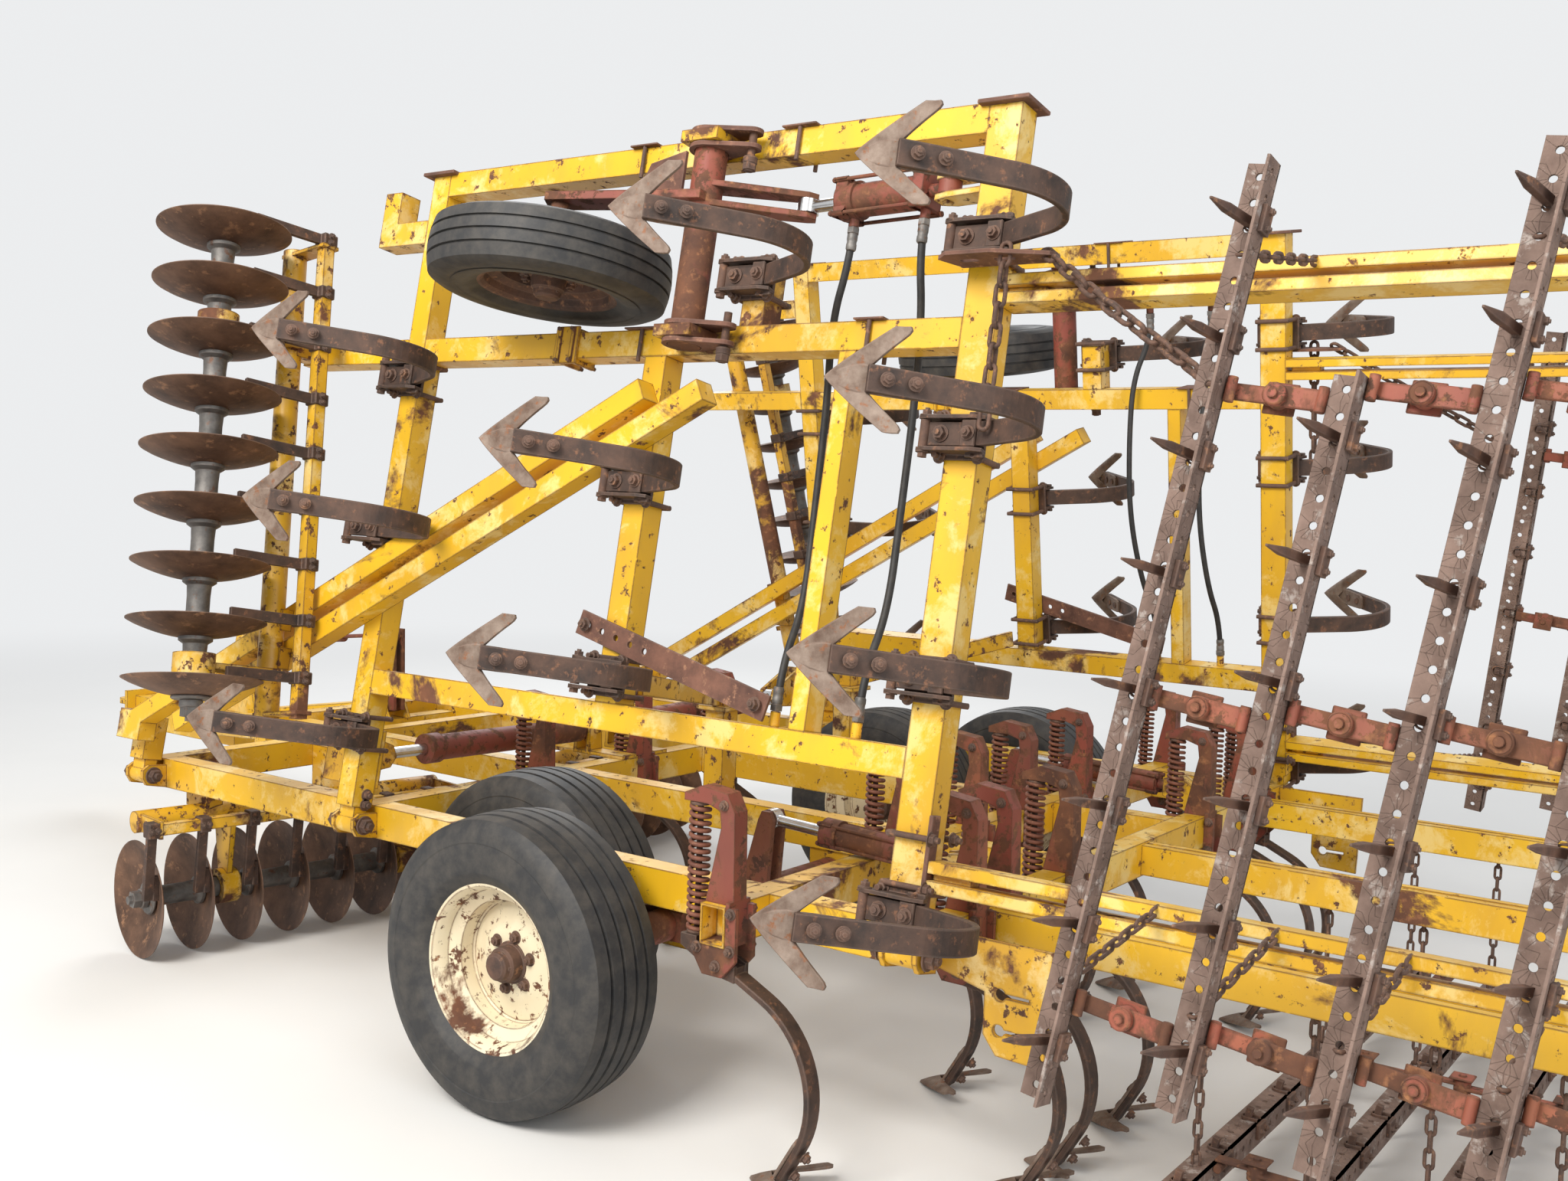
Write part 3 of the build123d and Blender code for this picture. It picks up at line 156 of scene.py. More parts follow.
class Shape:
    """Points and faces gathered for one mesh."""

    def __init__(self, place=None):
        self.points, self.faces, self.smooth = [], [], []
        self.place = place or Matrix.Identity(4)

    def add(self, points, faces, smooth=False, local=None):
        """Add faces over their own points, placed by local and then by the shape's own place."""
        place = self.place @ local if local is not None else self.place
        first = len(self.points)
        self.points.extend((place @ Vector(point))[:] for point in points)
        way = -1 if place.determinant() < 0 else 1
        self.faces.extend([first + k for k in face][::way] for face in faces)
        self.smooth.extend([smooth] * len(faces))

    def box(self, low, high, chamfer=0.0):
        """Box between two corners."""
        low, high = zip(*(sorted(pair) for pair in zip(low, high)))
        size = [b - a for a, b in zip(low, high)]
        if not chamfer:
            outline = [(low[0], low[1]), (high[0], low[1]), (high[0], high[1]), (low[0], high[1])]
            self.plate(outline, size[2], Matrix.Translation((0, 0, low[2])))
            return
        work = bmesh.new()
        bmesh.ops.create_cube(work, size=1.0)
        for vert in work.verts:
            vert.co = [(a + b) / 2 + u * (b - a) for a, b, u in zip(low, high, vert.co)]
        wide = min(chamfer, *(0.45 * s for s in size))
        bmesh.ops.bevel(work, geom=work.edges[:], offset=wide, segments=1, profile=0.5, affect="EDGES")
        self.take(work)

    def take(self, work, local=None):
        """Add a finished bmesh and free it."""
        work.verts.index_update()
        faces = [[v.index for v in f.verts] for f in work.faces]
        self.add([v.co[:] for v in work.verts], faces, local=local)
        work.free()

    def plate(self, outline, thickness, local=None):
        """Flat plate with an outline in x and y, from z = 0 up to its thickness."""
        n = len(outline)
        points = [(x, y, z) for z in (0, thickness) for x, y in outline]
        self.add(points, end_faces(n) + side_faces(n), local=local)

    def cut_plate(self, outline, holes, thickness, local=None):
        """Plate with real openings."""
        curve = bpy.data.curves.new("cut_plate", "CURVE")
        curve.dimensions = "2D"
        curve.fill_mode = "BOTH"
        curve.extrude = thickness / 2
        for loop in (outline, *holes):
            spline = curve.splines.new("POLY")
            spline.points.add(len(loop) - 1)
            for point, (x, y) in zip(spline.points, loop):
                point.co = (x, y, 0, 1)
            spline.use_cyclic_u = True
        mesh = evaluated(curve)
        work = bmesh.new()
        work.from_mesh(mesh)
        bpy.data.meshes.remove(mesh)
        bmesh.ops.remove_doubles(work, verts=work.verts, dist=1e-6)
        bmesh.ops.translate(work, verts=work.verts, vec=(0, 0, thickness / 2))
        self.take(work, local)

    def lathe(self, profile, sides=48, local=None, closed=True):
        """Turn a profile of (along, radius) points about the z axis of local."""
        n = len(profile)
        turns = [(math.cos(TAU * k / sides), math.sin(TAU * k / sides)) for k in range(sides)]
        points = [(r * c, r * s, h) for c, s in turns for h, r in profile]
        faces = []
        for k in range(sides):
            here, there = k * n, (k + 1) % sides * n
            faces += [(here + i, there + i, there + (i + 1) % n, here + (i + 1) % n)
                      for i in range(n if closed else n - 1)]
        self.add(points, faces, True, local)

    def rod(self, start, end, radius, sides=12, chamfer=0.0):
        """Round bar with capped ends between two points."""
        start, end = Vector(start), Vector(end)
        length = (end - start).length
        c = min(chamfer, radius * 0.5, length * 0.4)
        levels = [(0, radius), (length, radius)]
        if c:
            levels = [(0, radius - c), (c, radius), (length - c, radius), (length, radius - c)]
        points = [(x, y, h) for h, r in levels for x, y in ring(r, sides)]
        local = turned_to(start, end - start)
        self.add(points, side_faces(sides, len(levels) - 1), True, local)
        self.add(points, end_faces(sides, len(levels) - 1), False, local)

    def prism(self, local, low, high, radius, sides):
        """Prism along the z axis of local."""
        self.plate(ring(radius, sides), high - low, local @ Matrix.Translation((0, 0, low)))

    def bolt(self, foot, direction, size, washer=True, nut=True):
        """Hexagon head or nut on its washer; size is half the width across its corners."""
        local = turned_to(foot, direction)
        low = size * 0.2 if washer else 0.0
        if washer:
            self.prism(local, 0, low, size * 1.35, 16)
        self.prism(local, low, low + size * 0.9, size, 6)
        if nut:
            self.prism(local, low + size * 0.9, low + size * 1.35, size * 0.5, 8)

    def ribbon(self, path, width, thickness, across=(1, 0, 0), taper=None):
        """Flat bar along a path, its width along across; taper gives a width factor for each point."""
        across = Vector(across)
        path = [Vector(p) for p in path]
        t = thickness / 2
        c = min(0.002, t * 0.5)
        points = []
        for k, p in enumerate(path):
            ahead = path[min(k + 1, len(path) - 1)] - path[max(k - 1, 0)]
            out = across.cross(ahead).normalized()
            w = width / 2 * (taper[k] if taper else 1)
            section = [(-w, -t + c), (-w + c, -t), (w - c, -t), (w, -t + c)]
            section += [(-u, -v) for u, v in section]
            points += [p + across * u + out * v for u, v in section]
        self.add(points, side_faces(8, len(path) - 1) + end_faces(8, len(path) - 1))

    def mesh(self, name):
        """Plain mesh of everything gathered."""
        mesh = bpy.data.meshes.new(name)
        mesh.from_pydata(self.points, [], self.faces)
        mesh.polygons.foreach_set("use_smooth", self.smooth)
        return mesh

    def object(self, name, material, body, slot=None, replaces=(), auto=35):
        """Make the object, with outward normals, riding on its body."""
        mesh = self.mesh(name)
        mesh.validate()
        work = bmesh.new()
        work.from_mesh(mesh)
        bmesh.ops.recalc_face_normals(work, faces=work.faces[:])
        for edge in work.edges:
            if len(edge.link_faces) == 2 and edge.calc_face_angle(0) > math.radians(auto):
                edge.smooth = False
        work.to_mesh(mesh)
        work.free()
        mesh.materials.append(M[material])
        return settle(bpy.data.objects.new(name, mesh), body, replaces)


def evaluated(data, nodes=None, values=None):
    """Plain mesh of a curve, or of a mesh under a node group whose inputs are set by socket identifier."""
    host = bpy.data.objects.new("host", data)
    bpy.context.scene.collection.objects.link(host)
    if nodes:
        modifier = host.modifiers.new("nodes", "NODES")
        modifier.node_group = nodes
        for item in nodes.interface.items_tree:
            if item.item_type == "SOCKET" and item.in_out == "INPUT" and item.name in values:
                modifier[item.identifier] = values[item.name]
        host.update_tag()
        bpy.context.view_layer.update()
    graph = bpy.context.evaluated_depsgraph_get()
    mesh = bpy.data.meshes.new_from_object(host.evaluated_get(graph), depsgraph=graph)
    if nodes:
        host.modifiers.remove(modifier)
    bpy.data.objects.remove(host)
    return mesh


def settle(piece, body, replaces=()):
    bpy.context.scene.collection.objects.link(piece)
    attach(piece, body)
    if replaces:
        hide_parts(*replaces)
    return piece


# Node trees

class Tree:
    """Small help for building a node tree."""

    def __init__(self, tree):
        self.tree = tree

    def new(self, kind, inputs=None, **values):
        """New node, its inputs linked to sockets or set to values."""
        node = self.tree.nodes.new(kind)
        for key, value in values.items():
            setattr(node, key, value)
        for key, value in (inputs or {}).items():
            self.put(node.inputs[key], value)
        return node

    def put(self, socket, value):
        """Link a socket to another one, or set its own value."""
        if isinstance(value, bpy.types.NodeSocket):
            self.tree.links.new(value, socket)
        elif value is not None:
            socket.default_value = value

    def math(self, kind, a, b, clamp=False):
        return self.new("ShaderNodeMath", {0: a, 1: b}, operation=kind, use_clamp=clamp).outputs[0]


class Nodes(Tree):
    """Node tree of a new material."""

    def __init__(self, name):
        self.material = bpy.data.materials.new(name)
        self.material.use_nodes = True
        super().__init__(self.material.node_tree)
        self.shader = self.tree.nodes["Principled BSDF"]
        self.object = self.new("ShaderNodeTexCoord").outputs["Object"]

    def noise(self, scale, detail=4.0, rough=0.55, stretch=None, distort=0.0):
        source = self.object
        if stretch:
            source = self.new("ShaderNodeMapping", {"Vector": source, "Scale": stretch}).outputs["Vector"]
        return self.new("ShaderNodeTexNoise", {"Vector": source, "Scale": scale, "Detail": detail,
                                               "Roughness": rough, "Distortion": distort}).outputs["Fac"]

    def ramp(self, source, low, high, a=(0, 0, 0), b=(1, 1, 1)):
        node = self.new("ShaderNodeValToRGB", {"Fac": source})
        for element, position, color in zip(node.color_ramp.elements, (low, high), (a, b)):
            element.position = position
            element.color = (*color, 1)
        return node.outputs["Color"]

    def mix(self, fac, a, b):
        node = self.new("ShaderNodeMix", data_type="RGBA")
        for name, value in (("Factor", fac), ("A", a), ("B", b)):
            socket = [s for s in node.inputs if s.name == name and s.enabled][0]
            self.put(socket, (*value, 1) if isinstance(value, tuple) else value)
        return [s for s in node.outputs if s.enabled][0]

    def bevel(self, radius):
        return self.new("ShaderNodeBevel", {"Radius": radius}, samples=4).outputs["Normal"]

    def edges(self, radius):
        """White near convex and concave edges."""
        flat = self.new("ShaderNodeNewGeometry").outputs["Normal"]
        dot = self.new("ShaderNodeVectorMath", {0: self.bevel(radius), 1: flat}, operation="DOT_PRODUCT")
        return self.math("SUBTRACT", 1.0, dot.outputs["Value"], True)

    def bump(self, height, strength, distance, normal=None):
        return self.new("ShaderNodeBump", {"Strength": strength, "Distance": distance, "Height": height,
                                           "Normal": normal}).outputs["Normal"]

    def finish(self, color, rough, normal=None, metallic=None):
        for name, value in (("Base Color", color), ("Roughness", rough), ("Normal", normal),
                            ("Metallic", metallic)):
            self.put(self.shader.inputs[name], value)
        return self.material


def paint(name, base, shade, rust, chips, edge_wear, gloss, faded=None):
    """Old paint with rust, chips, faded parts and worn edges; a lower rust or chips gives more of it."""
    n = Nodes(name)
    tint = n.mix(n.ramp(n.noise(1.7, 3), 0.35, 0.68), base, shade)
    streak = n.ramp(n.noise(6, 5, 0.6, (1.0, 1.0, 0.35)), 0.45, 0.80)
    tint = n.mix(n.math("MULTIPLY", streak, 0.35), tint, (0.33, 0.18, 0.06))
    if faded:
        pale = n.ramp(n.noise(5.5, 8, 0.72, distort=0.3), 0.51, 0.60)
        tint = n.mix(n.math("MULTIPLY", pale, 0.65), tint, faded)
    large = n.ramp(n.noise(2.6, 8, 0.66, distort=0.4), rust, rust + 0.05)
    small = n.ramp(n.noise(24, 6, 0.7), chips + 0.06, chips + 0.10)
    grain = n.noise(55, 3, 0.7)
    edge = n.math("MULTIPLY", n.edges(0.007), 14.0)
    edge = n.math("MULTIPLY", edge, n.ramp(n.noise(11, 5, 0.7), 0.36, 0.52))
    edge = n.ramp(n.math("MULTIPLY", edge, edge_wear), 0.35, 0.55)
    mask = n.math("MAXIMUM", n.math("MAXIMUM", large, small), edge, True)
    rusty = n.ramp(n.noise(9, 6, 0.62), 0.32, 0.70, (0.060, 0.026, 0.016), (0.180, 0.070, 0.032))
    rusty = n.mix(n.ramp(n.noise(38, 4, 0.6), 0.56, 0.74), rusty, (0.300, 0.130, 0.055))
    rough = n.mix(mask, (gloss, gloss, gloss), (0.86, 0.86, 0.86))
    height = n.math("SUBTRACT", n.math("MULTIPLY", grain, 0.35), n.math("MULTIPLY", mask, 0.6))
    return n.finish(n.mix(mask, tint, rusty), rough, n.bump(height, 0.35, 0.002, n.bevel(0.004)))


def worn_steel(name, dark, light, spots, rough, metallic, scale):
    """Bare or rusted steel whose wear shows lighter metal on edges and raised parts."""
    n = Nodes(name)
    tone = n.ramp(n.noise(scale, 7, 0.66), 0.34, 0.68, dark, light)
    tone = n.mix(n.ramp(n.noise(scale * 2.4, 5, 0.7), 0.57, 0.66), tone, spots)
    edge = n.ramp(n.math("MULTIPLY", n.edges(0.005), 9.0), 0.25, 0.7)
    color = n.mix(n.math("MULTIPLY", edge, 0.35), tone, (0.27, 0.19, 0.15))
    return n.finish(color, rough, n.bump(n.noise(70, 5, 0.75), 0.5, 0.0016, n.bevel(0.003)), metallic)


def rubber(name, base, dust, scale):
    """Dusty tyre rubber or hose."""
    n = Nodes(name)
    amount = n.math("MULTIPLY", n.ramp(n.noise(scale, 6, 0.65), 0.40, 0.78), 0.55)
    return n.finish(n.mix(amount, base, dust), 0.62, n.bump(n.noise(90, 4, 0.7), 0.25, 0.001))


# Key, then the maker's values in order
PAINTS = {
    "yellow": ("yellow_paint", (0.770, 0.450, 0.014), (0.650, 0.350, 0.012), 0.580, 0.545, 1.5, 0.42,
               (0.800, 0.620, 0.250)),
    "yellow_worn": ("yellow_paint_worn", (0.720, 0.410, 0.014), (0.560, 0.290, 0.012), 0.535, 0.50, 1.8,
                    0.42, (0.760, 0.590, 0.270)),
    "red": ("red_paint_worn", (0.235, 0.050, 0.030), (0.150, 0.042, 0.028), 0.50, 0.47, 0.9, 0.6),
    "salmon": ("red_link_paint", (0.290, 0.072, 0.042), (0.190, 0.054, 0.034), 0.50, 0.46, 1.2, 0.65),
    "cream": ("cream_rim_paint", (0.740, 0.660, 0.480), (0.600, 0.480, 0.300), 0.570, 0.50, 1.4, 0.5),
}
# Dark, light and spot colour, roughness, metallic, noise scale
STEELS = {
    "rust": ("rusty_bar_steel", (0.055, 0.033, 0.026), (0.155, 0.080, 0.052), (0.260, 0.125, 0.065),
             0.78, 0.15, 14.0),
    "brown": ("brown_plate_steel", (0.075, 0.034, 0.024), (0.200, 0.090, 0.058), (0.300, 0.150, 0.085),
              0.78, 0.1, 12.0),
    "shank": ("dark_shank_steel", (0.036, 0.025, 0.021), (0.105, 0.058, 0.040), (0.190, 0.090, 0.050),
              0.66, 0.35, 14.0),
    "bar": ("perforated_bar_steel", (0.110, 0.068, 0.052), (0.260, 0.175, 0.140), (0.340, 0.290, 0.260),
            0.74, 0.2, 10.0),
    "sweep": ("worn_sweep_steel", (0.100, 0.058, 0.038), (0.250, 0.190, 0.150), (0.200, 0.080, 0.034),
              0.66, 0.25, 18.0),
    "disc": ("rusty_disc_steel", (0.070, 0.036, 0.022), (0.200, 0.105, 0.062), (0.290, 0.150, 0.080),
             0.62, 0.35, 9.0),
    "spool": ("spool_steel", (0.090, 0.085, 0.080), (0.230, 0.215, 0.200), (0.160, 0.085, 0.055),
              0.55, 0.5, 14.0),
    "chain": ("rusty_chain_steel", (0.060, 0.036, 0.028), (0.170, 0.090, 0.060), (0.250, 0.130, 0.070),
              0.7, 0.3, 40.0),
    "spring": ("rusty_spring_steel", (0.120, 0.042, 0.026), (0.250, 0.090, 0.050), (0.310, 0.150, 0.080),
               0.66, 0.2, 30.0),
}
RUBBERS = {"tyre": ("tyre_rubber", (0.020, 0.020, 0.021), (0.105, 0.090, 0.072), 18.0),
           "hose": ("hose_rubber", (0.014, 0.014, 0.015), (0.060, 0.052, 0.044), 30.0)}


def make_materials():
    """Every material of the machine, by short name."""
    made = {key: maker(*row) for maker, table in ((paint, PAINTS), (worn_steel, STEELS), (rubber, RUBBERS))
            for key, row in table.items()}
    n = Nodes("polished_rod")
    tone = n.ramp(n.noise(30, 3), 0.4, 0.8, (0.62, 0.62, 0.63), (0.50, 0.49, 0.47))
    made["chrome"] = n.finish(tone, 0.24, None, 1.0)
    return made


class Group(Tree):
    """Node tree of a new geometry group with named inputs."""

    def __init__(self, name, **inputs):
        super().__init__(bpy.data.node_groups.new(name, "GeometryNodeTree"))
        for label, kind in inputs.items():
            self.tree.interface.new_socket(name=label, in_out="INPUT", socket_type=f"NodeSocket{kind}")
        self.tree.interface.new_socket(name="Geometry", in_out="OUTPUT", socket_type="NodeSocketGeometry")
        self.given = self.tree.nodes.new("NodeGroupInput").outputs
        self.end = self.tree.nodes.new("NodeGroupOutput")

    def finish(self, geometry):
        """Realise the instances and set the material."""
        real = self.new("GeometryNodeRealizeInstances", {"Geometry": geometry})
        painted = self.new("GeometryNodeSetMaterial", {"Geometry": real.outputs["Geometry"],
                                                       "Material": self.given["Material"]})
        self.put(self.end.inputs["Geometry"], painted.outputs["Geometry"])
        return self.tree

    def copies(self, points, source, rotation):
        """Copies of an object on points, finished."""
        info = self.new("GeometryNodeObjectInfo", {"Object": source})
        place = self.new("GeometryNodeInstanceOnPoints", {"Points": points,
                                                          "Instance": info.outputs["Geometry"],
                                                          "Rotation": rotation})
        return self.finish(place.outputs["Instances"])

    def along(self, mode, **inputs):
        """Points along every edge of the given mesh, and the direction there."""
        curve = self.new("GeometryNodeMeshToCurve", {"Mesh": self.given["Geometry"]}).outputs["Curve"]
        points = self.new("GeometryNodeResampleCurve", {"Curve": curve, **inputs},
                          mode=mode).outputs["Curve"]
        return points, self.new("GeometryNodeInputTangent").outputs["Tangent"]


def chain_group():
    """Links one after another along every edge of a mesh, each turned a quarter from the last."""
    n = Group("chain_links", Geometry="Geometry", Link="Object", Pitch="Float", Material="Material")
    points, tangent = n.along("LENGTH", Length=n.given["Pitch"])
    align = n.new("FunctionNodeAlignRotationToVector", {"Vector": tangent}, axis="Z")
    odd = n.math("MODULO", n.new("GeometryNodeInputIndex").outputs["Index"], 2.0)
    angle = n.math("MULTIPLY", odd, math.pi / 2)
    turn = n.new("FunctionNodeAxisAngleToRotation", {"Axis": (0, 0, 1), "Angle": angle})
    both = n.new("FunctionNodeRotateRotation", {"Rotation": align.outputs["Rotation"],
                                                "Rotate By": turn.outputs["Rotation"]},
                 rotation_space="LOCAL")
    return n.copies(points, n.given["Link"], both.outputs["Rotation"])


def row_group():
    """A tile repeated in a row along every edge of a mesh, whose direction the tile's x axis follows."""
    n = Group("tile_rows", Geometry="Geometry", Tile="Object", Count="Int", Up="Vector", Material="Material")
    points, tangent = n.along("COUNT", Count=n.given["Count"])
    first = n.new("FunctionNodeAlignRotationToVector", {"Vector": tangent}, axis="X")
    second = n.new("FunctionNodeAlignRotationToVector", {"Rotation": first.outputs["Rotation"],
                                                         "Vector": n.given["Up"]}, axis="Z", pivot_axis="X")
    return n.copies(points, n.given["Tile"], second.outputs["Rotation"])


def spring_group():
    """Coil spring along z from 0 to Height, with named sizes."""
    n = Group("coil_spring", Turns="Float", Radius="Float", Height="Float", Wire="Float",
              Material="Material")
    spiral = n.new("GeometryNodeCurveSpiral", {
        "Resolution": 16, "Rotations": n.given["Turns"], "Start Radius": n.given["Radius"],
        "End Radius": n.given["Radius"], "Height": n.given["Height"]})
    circle = n.new("GeometryNodeCurvePrimitiveCircle", {"Resolution": 8, "Radius": n.given["Wire"]})
    sweep = n.new("GeometryNodeCurveToMesh", {"Fill Caps": True, "Curve": spiral.outputs["Curve"],
                                              "Profile Curve": circle.outputs["Curve"]})
    return n.finish(sweep.outputs["Mesh"])


def repeat(key, label, source, lines, **values):
    """Mesh of a source object repeated by a node group along straight lines, each a pair of points."""
    mesh = bpy.data.meshes.new("lines")
    edges = [(2 * k, 2 * k + 1) for k in range(len(lines))]
    mesh.from_pydata([tuple(p) for pair in lines for p in pair], edges, [])
    made = evaluated(mesh, TREES[key], {label: source, **values})
    bpy.data.objects.remove(source)
    return made


def hang_chains(name, lines, pitch, wire, body, replaces=()):
    """Chains of oval links along straight lines."""
    link = bpy.data.objects.new("link", chain_link(pitch, wire).mesh("link"))
    mesh = repeat("chain", "Link", link, lines, Pitch=pitch, Material=M["chain"])
    mesh.polygons.foreach_set("use_smooth", [True] * len(mesh.polygons))
    settle(bpy.data.objects.new(name, mesh), body, replaces)


def dress(material, *nodes):
    """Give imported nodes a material."""
    for name in nodes:
        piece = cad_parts[name]
        if not piece.material_slots:
            piece.data.materials.append(M[material])
        for slot in piece.material_slots:
            slot.material = M[material]


def metres(name, default):
    """Length setting of a property group."""
    return bpy.props.FloatProperty(name=name, default=default, unit="LENGTH")


M = {}
TREES = {}


# Camera and hoses

class FINISHER_PG_stage(bpy.types.PropertyGroup):
    """Camera and light settings."""
    place: bpy.props.FloatVectorProperty(name="Camera place", default=(-4.40, -3.60, 1.69), unit="LENGTH")
    yaw: bpy.props.FloatProperty(name="Yaw", default=54.35)
    pitch: bpy.props.FloatProperty(name="Pitch down", default=3.72)
    roll: bpy.props.FloatProperty(name="Roll", default=2.02)
    lens: bpy.props.FloatProperty(name="Focal length", default=35.5)
    floor: bpy.props.FloatVectorProperty(name="Floor colour", subtype="COLOR", default=(0.74, 0.73, 0.71))
    backdrop: bpy.props.FloatVectorProperty(name="Backdrop colour", subtype="COLOR",
                                            default=(0.84, 0.85, 0.86))
    key: bpy.props.FloatProperty(name="Key light", default=900.0)


class FINISHER_OT_camera(bpy.types.Operator):
    """Camera at the photograph's viewing angle."""
    bl_idname = "finisher.camera"
    bl_label = "Camera"

    def execute(self, context):
        s = context.scene.finisher_stage
        yaw, pitch, roll = (math.radians(v) for v in (s.yaw, s.pitch, s.roll))
        forward = Vector((math.sin(yaw) * math.cos(pitch), math.cos(yaw) * math.cos(pitch),
                          -math.sin(pitch)))
        right = Vector((math.cos(yaw), -math.sin(yaw), 0))
        up = right.cross(forward)
        side = right * math.cos(roll) + up * math.sin(roll)
        top = up * math.cos(roll) - right * math.sin(roll)
        data = bpy.data.cameras.new("camera")
        data.lens = s.lens
        data.sensor_width = 36.0
        data.clip_end = 200.0
        camera = bpy.data.objects.new("camera", data)
        context.scene.collection.objects.link(camera)
        place = Matrix((side, top, -forward)).transposed().to_4x4()
        place.translation = s.place
        camera.matrix_world = place
        context.scene.camera = camera
        return {"FINISHED"}


class FINISHER_OT_hoses(bpy.types.Operator):
    """Hydraulic hoses of the wing lift cylinders."""
    bl_idname = "finisher.hoses"
    bl_label = "Hoses"

    def execute(self, context):
        for name, side in SIDES:
            place = wing_place(side)
            for end, route in HOSE_ROUTES.items():
                curve = bpy.data.curves.new(f"hose_line_{end}_{name}", "CURVE")
                curve.dimensions = "3D"
                curve.bevel_depth = 0.010
                curve.bevel_resolution = 3
                curve.resolution_u = 10
                curve.use_fill_caps = True
                spline = curve.splines.new("NURBS")
                spline.points.add(len(route) - 1)
                points = [place @ Vector(p) for p in route]
                for target, point in zip(spline.points, points):
                    target.co = (*point, 1.0)
                spline.order_u = 3
                spline.use_endpoint_u = True
                curve.materials.append(M["hose"])
                piece = bpy.data.objects.new(f"hydraulic_hose_{end}_{name}", curve)
                settle(piece, f"wing_{name}", (f"hose_{end}_{name}",))
                ferrules = Shape(place)
                for tip, inner in ((route[0], route[1]), (route[-1], route[-2])):
                    # Crimped sleeve and union nut
                    local = turned_to(tip, Vector(inner) - Vector(tip))
                    ferrules.lathe([(0.016, 0.0), (0.016, 0.0125), (0.022, 0.0140), (0.034, 0.0140),
                                    (0.036, 0.0130), (0.044, 0.0130), (0.046, 0.0140), (0.058, 0.0140),
                                    (0.062, 0.0115), (0.062, 0.0)], 24, local, closed=False)
                    ferrules.prism(local, 0.001, 0.017, 0.0165, 6)
                fitting = ferrules.object(f"hose_fittings_{end}_{name}", "spool", f"wing_{name}", "hose")
        return {"FINISHED"}


# Wheels

class FINISHER_PG_wheels(bpy.types.PropertyGroup):
    """Sizes of the tyres and rims."""
    radius: metres("Tyre radius", 0.405)
    width: metres("Tyre width", 0.280)
    rim: metres("Rim radius", 0.221)
    wing_radius: metres("Wing tyre radius", 0.340)
    wing_width: metres("Wing tyre width", 0.175)
    wing_rim: metres("Wing rim radius", 0.190)
    segments: bpy.props.IntProperty(name="Segments", default=96)


def tyre_profile(radius, width, rim, grooves):
    """Closed (along, radius) outline of a ribbed tyre, its bead against the rim."""
    h = width / 2
    outline = [(-h * 0.70, rim - 0.004), (-h * 0.80, rim + 0.006), (-h * 0.94, rim + 0.034),
               (-h * 0.955, rim + 0.038), (-h * 0.97, rim + 0.048), (-h, rim + 0.075),
               (-h * 0.995, radius - 0.086), (-h * 0.975, radius - 0.070), (-h * 0.985, radius - 0.066),
               (-h * 0.955, radius - 0.048), (-h * 0.90, radius - 0.026)]
    flank = [(-u, r) for u, r in reversed(outline)]
    edge = h * 0.80
    crown = 0.010
    pitch = 2 * edge / (grooves + 1)
    groove = 0.012 if radius > 0.38 else 0.008
    for k in range(grooves + 1):
        a = -edge + k * pitch
        b = a + pitch
        for u in (a + (groove / 2 if k else 0), b - (groove / 2 if k < grooves else 0)):
            outline.append((u, radius - crown * (u / edge) ** 2))
        if k < grooves:
            low = radius - crown * (b / edge) ** 2 - groove * 0.85
            outline += [(b - groove * 0.3, low), (b + groove * 0.3, low)]
    return outline + flank + [(h * 0.60, rim - 0.008), (-h * 0.60, rim - 0.008)]


def rim_profile(width, rim):
    """Closed outline of a drop-centre rim with its dished disc; the hollow side faces +along."""
    h = width / 2
    return [(h * 0.72, rim + 0.012), (h * 0.76, rim + 0.014), (h * 0.80, rim + 0.008),
            (h * 0.78, rim - 0.002), (h * 0.68, rim - 0.012), (h * 0.46, rim - 0.018),
            (h * 0.34, rim - 0.050), (h * 0.06, rim - 0.054), (h * 0.02, rim - 0.060), (0.010, rim * 0.60),
            (0.016, rim * 0.50), (0.026, rim * 0.42), (0.026, 0.045), (0.014, 0.045), (0.014, rim * 0.42),
            (0.004, rim * 0.50), (-0.002, rim * 0.60), (-h * 0.06, rim - 0.056), (-h * 0.30, rim - 0.048),
            (-h * 0.46, rim - 0.020), (-h * 0.68, rim - 0.010), (-h * 0.78, rim), (-h * 0.80, rim + 0.008),
            (-h * 0.74, rim + 0.012), (-h * 0.66, rim + 0.002), (-h * 0.44, rim - 0.008),
            (-h * 0.28, rim - 0.040), (h * 0.28, rim - 0.042), (h * 0.42, rim - 0.008), (h * 0.66, rim)]


